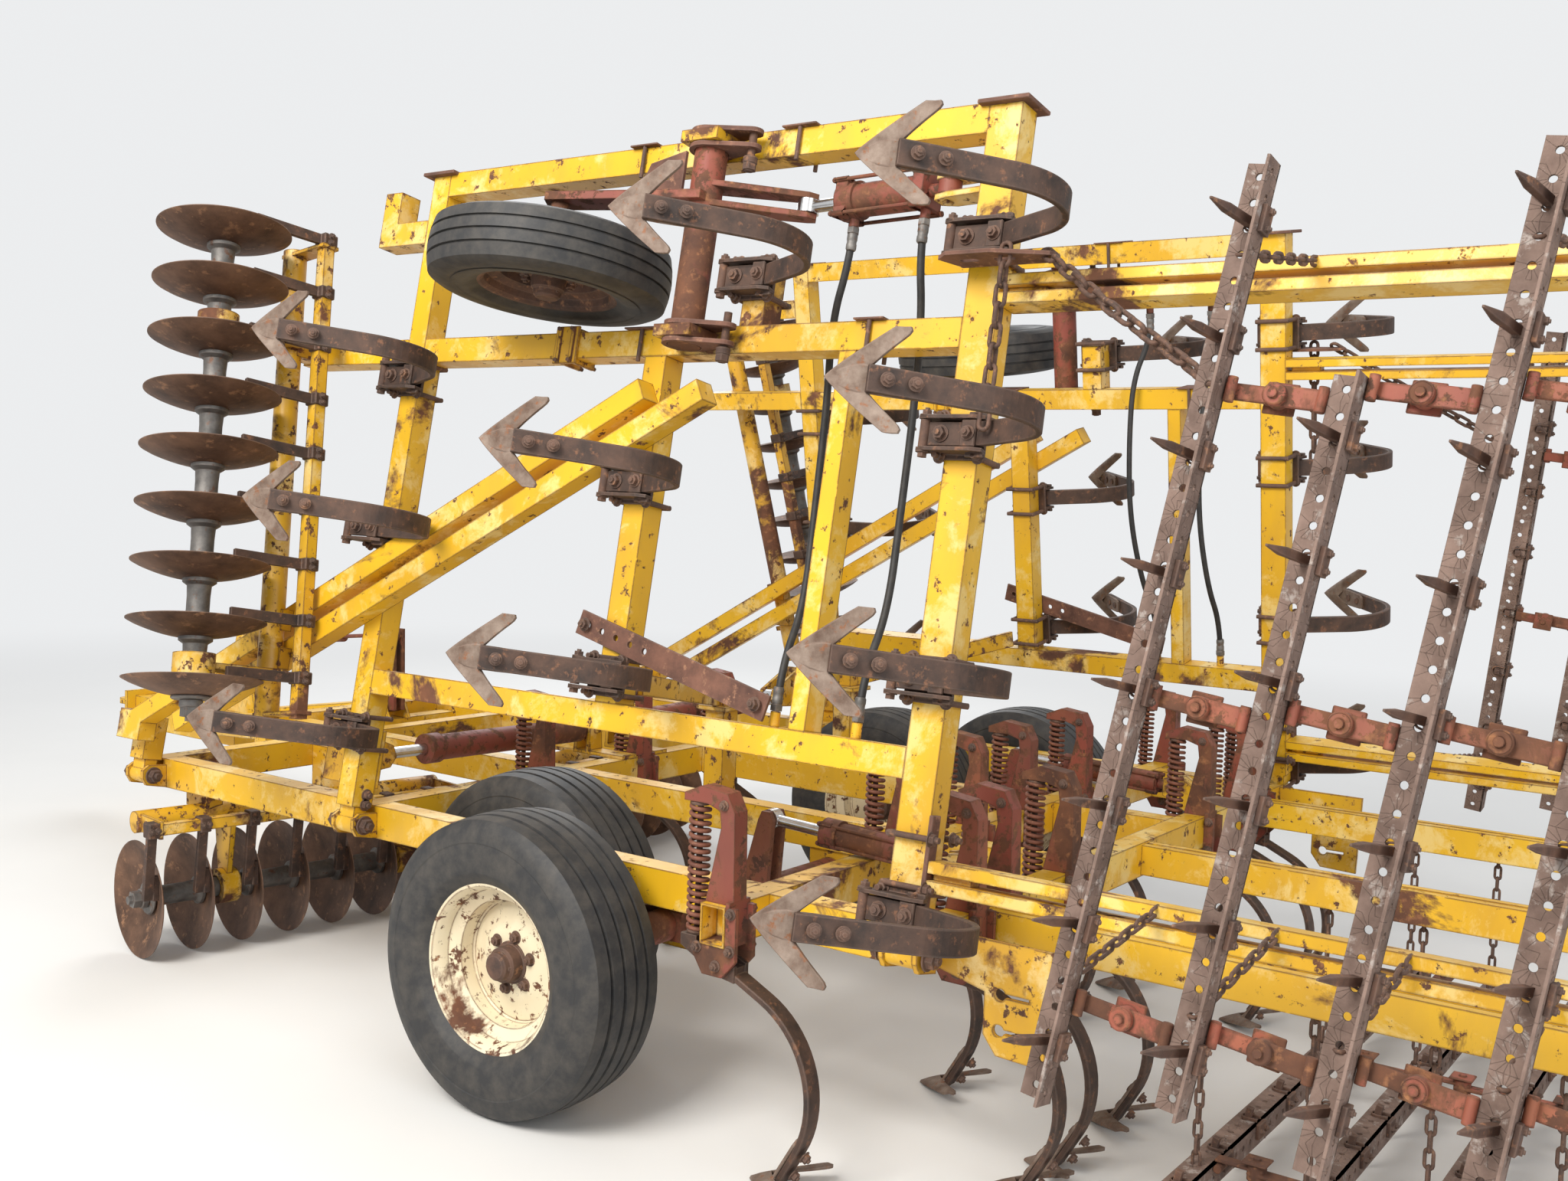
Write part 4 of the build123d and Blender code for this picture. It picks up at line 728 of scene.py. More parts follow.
def build_wheel(node, prefix, end, place, sizes, grooves, segments, rim_material):
    """Tyre, rim and hub of one wheel; place has its z axis towards the rim's hollow side."""
    tyre, disc, hub = (Shape(place) for _ in range(3))
    tyre.lathe(tyre_profile(*sizes, grooves), segments)
    tyre.object(f"{prefix}tyre_{end}", "tyre", node, "tyre", (node,), auto=28)
    disc.lathe(rim_profile(*sizes[1:]), 64)
    disc.object(f"{prefix}rim_{end}", rim_material, node, "yellow_paint", (node,), auto=30)
    hub.lathe([(-0.040, 0.0), (-0.040, 0.070), (0.006, 0.070), (0.018, 0.062), (0.030, 0.056), (0.030, 0.0)],
              32, closed=False)
    hub.lathe([(0.028, 0.050), (0.062, 0.047), (0.068, 0.040), (0.082, 0.037), (0.088, 0.030), (0.090, 0.0)],
              32, closed=False)
    for x, y in arc((0, 0), 0.073, math.degrees(0.3), 300, 5):
        hub.bolt((x, y, 0.024), (0, 0, 1), 0.0135)
    for x, y in ring(0.034, 5):
        hub.bolt((x, y, 0.066), (0, 0, 1), 0.007, washer=False, nut=False)
    hub.object(f"{prefix}hub_{end}", "rust", node, "red_steel", (node,))


class FINISHER_OT_wheels(bpy.types.Operator):
    """Ribbed tyres on dished rims, with hubs and bolts."""
    bl_idname = "finisher.wheels"
    bl_label = "Wheels"

    def execute(self, context):
        s = context.scene.finisher_wheels
        for name, side in SIDES:
            for kind, x, y, out in (("outer", 1.480, -0.670, 1), ("inner", 1.000, -0.280, -1)):
                place = turned_to((side * x, y, s.radius), (side * out, 0, 0))
                build_wheel(f"wheel_{kind}_{name}", "", f"{kind}_{name}", place, (s.radius, s.width, s.rim),
                            4, s.segments, "cream")
            place = wing_place(side) @ turned_to((1.655, -0.500, -0.205), (-1, 0, 0))
            build_wheel(f"wing_wheel_{name}", "wing_", name, place,
                        (s.wing_radius, s.wing_width, s.wing_rim), 3, s.segments, "rust")
        return {"FINISHED"}


# Disc gangs

class FINISHER_PG_discs(bpy.types.PropertyGroup):
    """Sizes of the disc gangs."""
    blade: metres("Blade radius", 0.203)
    gap: metres("Blade spacing", 0.178)
    dish: metres("Dish", 0.048)
    spool: metres("Spool radius", 0.038)


def blade_profile(radius, dish):
    """Closed outline of a dished blade, hollow towards +along."""
    steps, hole = 9, 0.030
    front, back = [], []
    for k in range(steps + 1):
        rise = dish * (k / steps) ** 1.7
        half = (0.0055 if k < steps else 0.0022) / 2
        r = hole + (radius - hole) * k / steps
        front.append((rise + half, r))
        back.append((rise - half, r))
    return front + back[::-1]


def build_gang(node, place, count, s):
    """Blades, spools, end washers and nuts of a gang along the z axis of place."""
    first = -(count - 1) / 2 * s.gap
    blades, spools = Shape(place), Shape(place)
    half, r = s.gap / 2 - 0.004, s.spool
    flank = [(half, 0.020), (half, r + 0.012), (half - 0.012, r + 0.012), (half - 0.022, r - 0.002),
             (0.030, r - 0.004)]
    spool = [(-h, q) for h, q in flank] + flank[::-1]
    for k in range(count):
        at = Matrix.Translation((0, 0, first + k * s.gap - 0.004))
        blades.lathe(blade_profile(s.blade, s.dish), 72, at)
        if k < count - 1:
            spools.lathe(spool, 32, Matrix.Translation((0, 0, first + (k + 0.5) * s.gap)))
    for sign in (-1, 1):
        near, middle, far = ((0, 0, sign * (u - first)) for u in (0.004, 0.016, 0.040))
        spools.rod(near, middle, s.spool + 0.022, 32, 0.004)
        spools.rod(middle, far, s.spool - 0.004, 24, 0.003)
        spools.bolt(far, (0, 0, sign), 0.030, washer=False)
    blades.object(f"{node}_blades", "disc", node, "disc_steel", (node,), auto=60)
    spools.object(f"{node}_spools", "spool", node, "disc_steel", (node,), auto=40)


class FINISHER_OT_discs(bpy.types.Operator):
    """Disc gangs with dished blades and spools."""
    bl_idname = "finisher.discs"
    bl_label = "Disc gangs"

    def execute(self, context):
        s = context.scene.finisher_discs
        along = Matrix.Rotation(GANG_TURN, 4, "Z") @ Matrix.Rotation(math.pi / 2, 4, "Y")
        for name, side in SIDES:
            build_gang(f"centre_gang_{name}", mirrored(Matrix.Translation(CENTRE_GANG) @ along, side), 7, s)
            build_gang(f"wing_gang_{name}", wing_place(side) @ Matrix.Translation(WING_GANG) @ along, 9, s)
        return {"FINISHED"}


# Shanks and sweeps

class FINISHER_PG_shanks(bpy.types.PropertyGroup):
    """Sizes of the shanks and sweeps."""
    width: metres("Bar width", 0.058)
    thickness: metres("Bar thickness", 0.016)
    span: metres("Sweep span", 0.222)
    sweep: metres("Sweep thickness", 0.007)


def shank_path(lead, bend, radius, first, turn, steps):
    """Centre line in y and z, and its end's direction: the lead, an arc from bend on, the stem."""
    start, end = math.radians(first), math.radians(first + turn)
    centre = (bend[0] - radius * math.cos(start), bend[1] - radius * math.sin(start))
    path = [(0, *p) for p in (*lead, *arc(centre, radius, first, turn, steps))]
    way = (-math.sin(end), math.cos(end))
    path.append((0, path[-1][1] + way[0] * (STEM_Z - path[-1][2]) / way[1], STEM_Z))
    return path, way


def middle(a, b):
    """Point halfway between two."""
    return (a[0] + b[0]) / 2, (a[1] + b[1]) / 2


def low_shank():
    """The lowest wing shank: level bar, arc, stem."""
    bar_z = -HALF - 0.078
    return bar_z, shank_path([(0.070, bar_z)], (-0.200, bar_z), 0.185, 90, 135, 22)


def wing_shank():
    """A wing shank: level under the clamp, sloping down behind it, then round to the stem."""
    bar_z = -HALF - 0.037
    knee = (-0.058, bar_z)
    bend = (-0.205, bar_z - 0.147 * math.tan(math.radians(24)))
    lead = [(0.070, bar_z), (0.010, bar_z), knee, middle(knee, bend)]
    return bar_z, shank_path(lead, bend, 0.172, 114, 111, 18)


def trip_shank():
    """A spring-trip shank of the centre."""
    lean = math.radians(25)
    start = (-0.030, -TUBE_H / 2 - 0.062)
    bend = (start[0] - 0.120 * math.cos(lean), start[1] - 0.120 * math.sin(lean))
    return None, shank_path([start, middle(start, bend)], bend, 0.250, 115, 95, 18)


def add_sweep(shape, bolts, nose, way, s):
    """Two blunt wings and a stem bolted to the shank's front face; nose is the lowest point."""
    steps = 14
    points = []
    for k in range(-steps, steps + 1):
        t = abs(k) / steps
        back = -0.140 * t ** 1.12
        blunt = math.sqrt(max(0.0, 1 - max(0.0, (t - 0.80) / 0.22) ** 2))
        wide = (0.066 - 0.014 * t) * (0.35 + 0.65 * blunt)
        lift = -0.17 * back + 0.008 * t
        crown = 0.016 * (1 - t) ** 2 + wide * 0.22
        section = ((0, 0), (-wide * 0.55, wide * 0.20), (-wide, crown), (-wide, crown + s.sweep),
                   (-wide * 0.5, wide * 0.24 + s.sweep), (-0.004, s.sweep))
        points += [(k / steps * s.span / 2, nose[1] + back + dy, nose[2] + lift + dz) for dy, dz in section]
    shape.add(points, side_faces(6, 2 * steps) + end_faces(6, 2 * steps), True)
    foot = Vector((0, nose[1] - NOSE_AHEAD, nose[2] + 0.020))
    back_way = Vector((0, -way[0], -way[1]))
    out = Vector((0, way[1], -way[0]))
    if out.y < 0:
        out = -out
    near = foot + out * 0.010
    path = [near + Vector((0, 0.062, -0.014)), near + Vector((0, 0.036, -0.010)),
            near + Vector((0, 0.014, -0.002))]
    path += [near + back_way * along + out * 0.002 for along in (0.014, 0.045, 0.080, 0.120, 0.135)]
    shape.ribbon(path, 0.060, 0.008, taper=[0.55, 0.85, 1, 1, 1, 0.96, 0.9, 0.7])
    for along in (0.040, 0.100):
        at = near + back_way * along
        bolts.rod(at + out * 0.006, at + out * 0.011, 0.013, 16, 0.002)
        bolts.bolt(at - out * 0.027, -out, 0.012)


def add_clamp(shape, bolts, bar_z):
    """Shank clamp: cheeks with a spacer roller, saddle, cap plate, and U-bolts round the tube."""
    outline = [(-0.080, bar_z - 0.012), (-0.066, -HALF - 0.003), (0.060, -HALF - 0.003),
               (0.096, bar_z + 0.006), (0.096, bar_z - 0.016), (0.070, bar_z - 0.026),
               (-0.052, bar_z - 0.026)]
    for x in (-0.043, 0.034):
        shape.plate(outline, 0.009, stand_x(x))
    shape.box((-0.056, -0.066, -HALF - 0.011), (0.056, 0.066, -HALF - 0.001), 0.002)
    shape.box((-0.033, -0.062, bar_z - 0.020), (0.033, -0.022, bar_z - 0.0085), 0.003)
    # Spacer roller ahead of the bar's end, with its through bolt
    bolts.rod((-0.033, 0.082, bar_z - 0.006), (0.033, 0.082, bar_z - 0.006), 0.013, 16)
    bolts.bolt((0.043, 0.082, bar_z - 0.006), (1, 0, 0), 0.0125)
    bolts.bolt((-0.043, 0.082, bar_z - 0.006), (-1, 0, 0), 0.0125, nut=False)
    bolts.bolt((0, 0.036, bar_z - 0.0085), (0, 0, -1), 0.0155)
    bolts.bolt((0, -0.042, bar_z - 0.020), (0, 0, -1), 0.0135)
    top = HALF + 0.008
    for side in (-1, 1):
        shape.box((side * 0.054, -0.078, bar_z - 0.003), (side * 0.043, -0.030, bar_z + 0.008), 0.002)
        x = side * 0.049
        for y in (-0.052, 0.052):
            bolts.rod((x, y, -HALF - 0.040), (x, y, top), 0.0075, 10)
            bolts.bolt((x, y, -HALF - 0.011), (0, 0, -1), 0.0125)
        bolts.rod((x, -0.058, top), (x, 0.058, top), 0.0075, 10)


def add_lever(shape, bolts, _):
    """Cheeks of the trip lever, the spring's seat and the pivot bolt."""
    h = TUBE_H / 2
    outline = [(-0.060, -h - 0.085), (-0.060, -h - 0.045), (0.020, -h - 0.014), (0.060, -0.066),
               (0.060, -0.040), (0.110, -0.040), (0.110, -0.070), (0.030, -h - 0.060), (0.0, -h - 0.076)]
    for x in (-0.0295, 0.0175):
        shape.plate(outline, 0.012, stand_x(x))
    shape.box((-0.0175, 0.056, -0.054), (0.0175, 0.108, -0.040))
    shape.box((-0.0175, -0.058, -h - 0.083), (0.0175, -0.030, -h - 0.050))
    bolts.rod((-0.034, -0.022, -h - 0.046), (0.034, -0.022, -h - 0.046), 0.012)


def build_shanks(rows, width, hold, kind, end, body, node, s):
    """Bars, sweeps and bolts; rows have each place, bar height and path, hold adds what carries a shank."""
    bars, sweeps, bolts = (Shape() for _ in range(3))
    for place, (bar_z, (path, way)) in rows:
        bars.place = sweeps.place = bolts.place = place
        bars.ribbon(path, width, s.thickness)
        hold(bars, bolts, bar_z)
        add_sweep(sweeps, bolts, (0, path[-1][1] + NOSE_AHEAD, NOSE_Z), way, s)
    bars.object(f"{kind}_shank_bars{end}", "shank", body, "worn_steel", (node,))
    sweeps.object(f"{kind}_sweeps{end}", "sweep", body, "worn_steel", (node,), auto=50)
    bolts.object(f"{kind}_shank_bolts{end}", "rust", body, "worn_steel", (node,))


class FINISHER_OT_shanks(bpy.types.Operator):
    """C-shanks of the wings and spring-trip shanks of the centre, with their sweeps."""
    bl_idname = "finisher.shanks"
    bl_label = "Shanks"

    def execute(self, context):
        s = context.scene.finisher_shanks
        for name, side in SIDES:
            rows = [(wing_place(side) @ Matrix.Translation((*at, 0)), shank())
                    for at, shank in (*((at, wing_shank) for at in WING_SHANKS), (LOW_SHANK, low_shank))]
            build_shanks(rows, s.width, add_clamp, "wing", f"_{name}", f"wing_{name}",
                         f"wing_shanks_{name}", s)
        rows = [(Matrix.Translation((*at, FRAME_Z)), trip_shank()) for at in TRIP_SHANKS]
        build_shanks(rows, 0.050, add_lever, "trip", "", "frame", "trip_shanks", s)
        return {"FINISHED"}


class FINISHER_OT_trips(bpy.types.Operator):
    """Coil springs, spring rods and bolts of the trip brackets."""
    bl_idname = "finisher.trips"
    bl_label = "Trip springs"

    def execute(self, context):
        h = TUBE_H / 2
        low, high = -0.040, h + 0.241
        spring = evaluated(bpy.data.meshes.new("spring"), TREES["spring"],
                           {"Turns": 18.0, "Radius": 0.0235, "Height": high - low - 0.012, "Wire": 0.0058,
                            "Material": M["spring"]})
        points = [v.co[:] for v in spring.vertices]
        faces = [list(p.vertices) for p in spring.polygons]
        coils, ends = Shape(), Shape()
        rng = random.Random(5)
        for x, y in TRIP_SHANKS:
            turn = Matrix.Rotation(rng.uniform(0, TAU), 4, "Z")
            coils.add(points, faces, True, Matrix.Translation((x, y + 0.082, FRAME_Z + low + 0.006)) @ turn)
            ends.place = Matrix.Translation((x, y, FRAME_Z))
            ends.rod((0, 0.082, low), (0, 0.082, high), 0.008, 10)
            ends.rod((0, 0.082, low), (0, 0.082, low + 0.009), 0.026, 20, 0.002)
            ends.rod((0, 0.082, high - 0.009), (0, 0.082, high), 0.026, 20, 0.002)
            for side in (-1, 1):
                for by, bz in ((-0.054, h - 0.014), (-0.054, -h - 0.004), (0.048, -h - 0.010),
                               (-0.012, -h - 0.048)):
                    ends.bolt((side * 0.042, by, bz), (side, 0, 0), 0.011)
                ends.bolt((side * 0.026, -0.012, h + 0.245), (side, 0, 0), 0.010)
        coils.object("trip_spring_coils", "spring", "frame", "red_steel", ("trip_springs",), auto=60)
        ends.object("trip_spring_seats", "rust", "frame", "red_steel", ("trip_springs",))
        return {"FINISHED"}


# Harrow

class FINISHER_PG_harrow(bpy.types.PropertyGroup):
    """Sizes of the harrow bars, teeth and chains."""
    leg: metres("Angle leg", 0.060)
    thickness: metres("Angle thickness", 0.006)
    hole: metres("Hole radius", 0.0075)
    pitch: metres("Hole pitch", 0.050)
    link: metres("Chain pitch", 0.036)


def holed_tile(stand, pitch, leg, thickness, hole):
    """Piece of a flat bar, centred on x, from y = 0 to the leg's width, with a round hole through it."""
    tile = Shape(stand)
    sides, cy, half = 16, leg * 0.55, pitch / 2
    inner, outer = [], []
    for x, y in arc((0, 0), 1, 180 / sides, 360 - 360 / sides, sides - 1):
        inner.append((hole * x, cy + hole * y))
        reach = min(half / abs(x), ((leg - cy) if y > 0 else cy) / abs(y))
        outer.append((reach * x, cy + reach * y))
    for k in range(sides):
        j = (k + 1) % sides
        a, b = outer[k], outer[j]
        points = [inner[k], a]
        if abs(a[0] - b[0]) > 1e-9 and abs(a[1] - b[1]) > 1e-9:
            # The bar's corner between two neighbours on different edges
            on_side = abs(abs(a[0]) - half) < 1e-9
            points.append((a[0], b[1]) if on_side else (b[0], a[1]))
        points += [b, inner[j]]
        order = list(range(len(points)))
        tile.add([(*p, 0.0) for p in points], [order[::-1]])
        tile.add([(*p, thickness) for p in points], [order])
        wall = [(*inner[k], 0), (*inner[j], 0), (*inner[j], thickness), (*inner[k], thickness)]
        tile.add(wall, [(0, 1, 2, 3)])
    for y, face in ((0.0, (0, 1, 2, 3)), (leg, (3, 2, 1, 0))):
        tile.add([(-half, y, 0), (half, y, 0), (half, y, thickness), (-half, y, thickness)], [face])
    return tile


def chain_link(pitch, wire):
    """Oval link about the origin, long along z and flat in x."""
    half, side = pitch / 2 + wire * 0.9, wire * 2.1
    path = arc((0, half - side), side, 0, 180, 6) + arc((0, side - half), side, 180, 180, 6)
    n = len(path)
    points = []
    for k, (x, z) in enumerate(path):
        before, after = path[k - 1], path[(k + 1) % n]
        tangent = Vector((after[0] - before[0], 0, after[1] - before[1])).normalized()
        out = Vector((0, 1, 0)).cross(tangent)
        points += [Vector((x, v, z)) + out * u for u, v in ring(wire, 6)]
    link = Shape()
    link.add(points, [[k % (6 * n) for k in face] for face in side_faces(6, n)], True)
    return link


def add_tooth(shape, x, s, side):
    """Square spike through the bar's corner, tapered below and cut off above, with its clip."""
    lean = Matrix.Translation((x, s.leg * 0.5, 0)) @ Matrix.Rotation(math.radians(12), 4, "X")
    w = 0.008
    square = [(-w, -w), (w, -w), (w, w), (-w, w)]
    points = [(u * k, v * k, z) for z, k in ((0.030, 1.0), (-0.088, 1.0), (-0.141, 0.25)) for u, v in square]
    shape.add(points, side_faces(4, 2) + end_faces(4, 2), False, lean)
    # Clip round the spike, bolted through the standing leg
    path = [(x + u, v, 0.004) for u, v in ((0.014, 0.002), *arc((0, s.leg * 0.5), 0.014, 0, 180, 6),
                                           (-0.014, 0.002))]
    shape.ribbon(path, 0.008, 0.004, across=(0, 0, 1))
    face = 0.0 if side < 0 else s.thickness
    shape.box((x - 0.026, face + side * 0.0002, -0.040), (x + 0.026, face + side * 0.010, -0.001), 0.001)
    for u in (-0.016, 0.016):
        shape.bolt((x + u, face + side * 0.010, -0.020), (0, side, 0), 0.0075, washer=False)


def add_link(shape, along, leg, spacing):
    """Two flat straps and a pivot pin between neighbouring bars."""
    y0, y1 = leg + 0.004, spacing - 0.004
    y = (y0 + y1) / 2
    shape.box((along - 0.020, y0 - 0.020, -0.003), (along + 0.020, y + 0.018, 0.005), 0.002)
    shape.box((along - 0.016, y - 0.020, 0.006), (along + 0.016, y1 + 0.002, 0.014), 0.002)
    shape.box((along - 0.030, y - 0.030, 0.026), (along + 0.030, y + 0.030, 0.031), 0.002)
    shape.rod((along, y, -0.018), (along, y, 0.026), 0.022, 20, 0.003)
    shape.rod((along, y, -0.026), (along, y, 0.036), 0.009, 10)
    for eye in (y0 + 0.006, y1 - 0.008):
        shape.rod((along - 0.024, eye, -0.008), (along + 0.024, eye, -0.008), 0.010, 12, 0.001)


def build_harrow(place, node, body, bars_table, lean, link_places, arms, hang, s):
    """Holed angle bars with teeth, links between them and chains up to the drag arms."""
    first_x = bars_table[0][0]
    edges = {}
    teeth, links, bars = Shape(place), Shape(place), Shape()
    for k, (start_x, length) in enumerate(bars_table):
        corner = Matrix.Translation((first_x, HARROW_Y - k * HARROW_STEP, -HARROW_DROP))
        corner = corner @ Matrix.Rotation(-lean, 4, "Z")
        local = corner @ Matrix.Translation((start_x - first_x, 0, 0))
        number = round(length / s.pitch)
        half = length / number / 2
        ends = [place @ local @ Vector((x, 0, 0)) for x in (half, length - half)]
        edges.setdefault(number, []).append(ends)
        spikes = round(length / 0.230)
        teeth.place = place @ local
        for t in range(spikes):
            add_tooth(teeth, (t + 0.5) * length / spikes, s, -1 if k < len(bars_table) - 1 else 1)
        links.place = place @ corner
        for along in link_places if k else ():
            add_link(links, along, s.leg, HARROW_STEP * math.cos(lean))
    up = place.to_3x3() @ Vector((0, 0, 1))
    for number, pairs in edges.items():
        width = (pairs[0][1] - pairs[0][0]).length / (number - 1)
        for stand in (Matrix.Translation((0, 0, -s.thickness)), Matrix.Rotation(-math.pi / 2, 4, "X")):
            tile = holed_tile(stand, width, s.leg, s.thickness, s.hole)
            source = bpy.data.objects.new("tile", tile.mesh("tile"))
            if place.determinant() < 0:
                for vertex in source.data.vertices:
                    vertex.co.y = -vertex.co.y
                source.data.flip_normals()
            mesh = repeat("row", "Tile", source, pairs, Count=number, Up=tuple(up), Material=M["bar"])
            bars.add([v.co[:] for v in mesh.vertices], [list(p.vertices) for p in mesh.polygons])
    bars.object(f"{node}_bars", "bar", body, "rusty_steel", (node,))
    teeth.object(f"{node}_teeth", "rust", body, "rusty_steel", (node,))
    links.object(f"{node}_links", "salmon", body, "rusty_steel", (node,))
    lines = []
    for arm_x in arms:
        low_x = arm_x - hang
        for k, (start_x, length) in enumerate(bars_table):
            if low_x + 0.060 <= start_x + length:
                low_y = HARROW_Y - k * HARROW_STEP - math.tan(lean) * (low_x - first_x) + 0.030
                high_y = max(low_y, REAR_Y - ARM_LENGTH + 0.030)
                lines.append((place @ Vector((arm_x + 0.022, high_y, -0.050)),
                              place @ Vector((low_x + 0.022, low_y, 0.012 - HARROW_DROP))))
    hang_chains(f"{node}_chains", lines, s.link, 0.0042, body, (node,))


class FINISHER_OT_harrow(bpy.types.Operator):
    """Drag harrow behind the wings and the centre."""
    bl_idname = "finisher.harrow"
    bl_label = "Harrow"

    def execute(self, context):
        s = context.scene.finisher_harrow
        for name, side in SIDES:
            build_harrow(wing_place(side), f"wing_harrow_{name}", f"wing_{name}", WING_BARS,
                         math.radians(7.4), (0.165, 0.745, 1.330), (0.190, 1.580), 0.120, s)
        build_harrow(Matrix.Translation((0, 0, FRAME_Z)), "harrow", "frame", CENTRE_BARS, 0.0,
                     (0.285, 1.185, 2.085), (-0.970, 0.0, 0.970), 0.0, s)
        return {"FINISHED"}


# Cylinders and fittings

class FINISHER_OT_cylinders(bpy.types.Operator):
    """Square end caps, tie rods and gland ring of the hydraulic cylinders."""
    bl_idname = "finisher.cylinders"
    bl_label = "Cylinders"

    def execute(self, context):
        for name, side in SIDES:
            self.dress_barrel(f"wing_lift_barrel_{name}", wing_place(side), WING_ANCHOR, WING_PIN, 0.044,
                              0.125, 0.057, 0.010)
            self.dress_barrel(f"lift_barrel_{name}", mirrored(Matrix.Identity(4), side), LIFT_ANCHOR,
                              LIFT_PIN, 0.036, 0.190, 0.062, 0.001)
        return {"FINISHED"}

    @staticmethod
    def dress_barrel(node, place, start, end, radius, shown, neck, proud):
        shape = Shape(place @ turned_to(start, end - start))
        size, c = radius + proud, 0.010
        high = (end - start).length - shown
        corners = [(c - size, -size), (-size, c - size), (size, c - size), (size - c, -size)]
        outline = corners + [(-x, -y) for x, y in corners]
        for low, top in ((neck - 0.004, neck + 0.030), (high - 0.036, high + 0.002)):
            shape.plate(outline, top - low, Matrix.Translation((0, 0, low)))
        # Gland ring where the rod comes out
        shape.prism(Matrix.Identity(4), high - 0.002, high + 0.010, radius * 0.62, 24)
        tie = size - 0.009
        for x, y in ((-tie, -tie), (-tie, tie), (tie, -tie), (tie, tie)):
            shape.rod((x, y, neck - 0.012), (x, y, high + 0.012), 0.0055, 8)
            shape.bolt((x, y, neck - 0.004), (0, 0, -1), 0.0078, washer=False, nut=False)
            shape.bolt((x, y, high + 0.002), (0, 0, 1), 0.0078, washer=False, nut=False)
        shape.object(f"{node}_ties", "red", node, "red_steel")


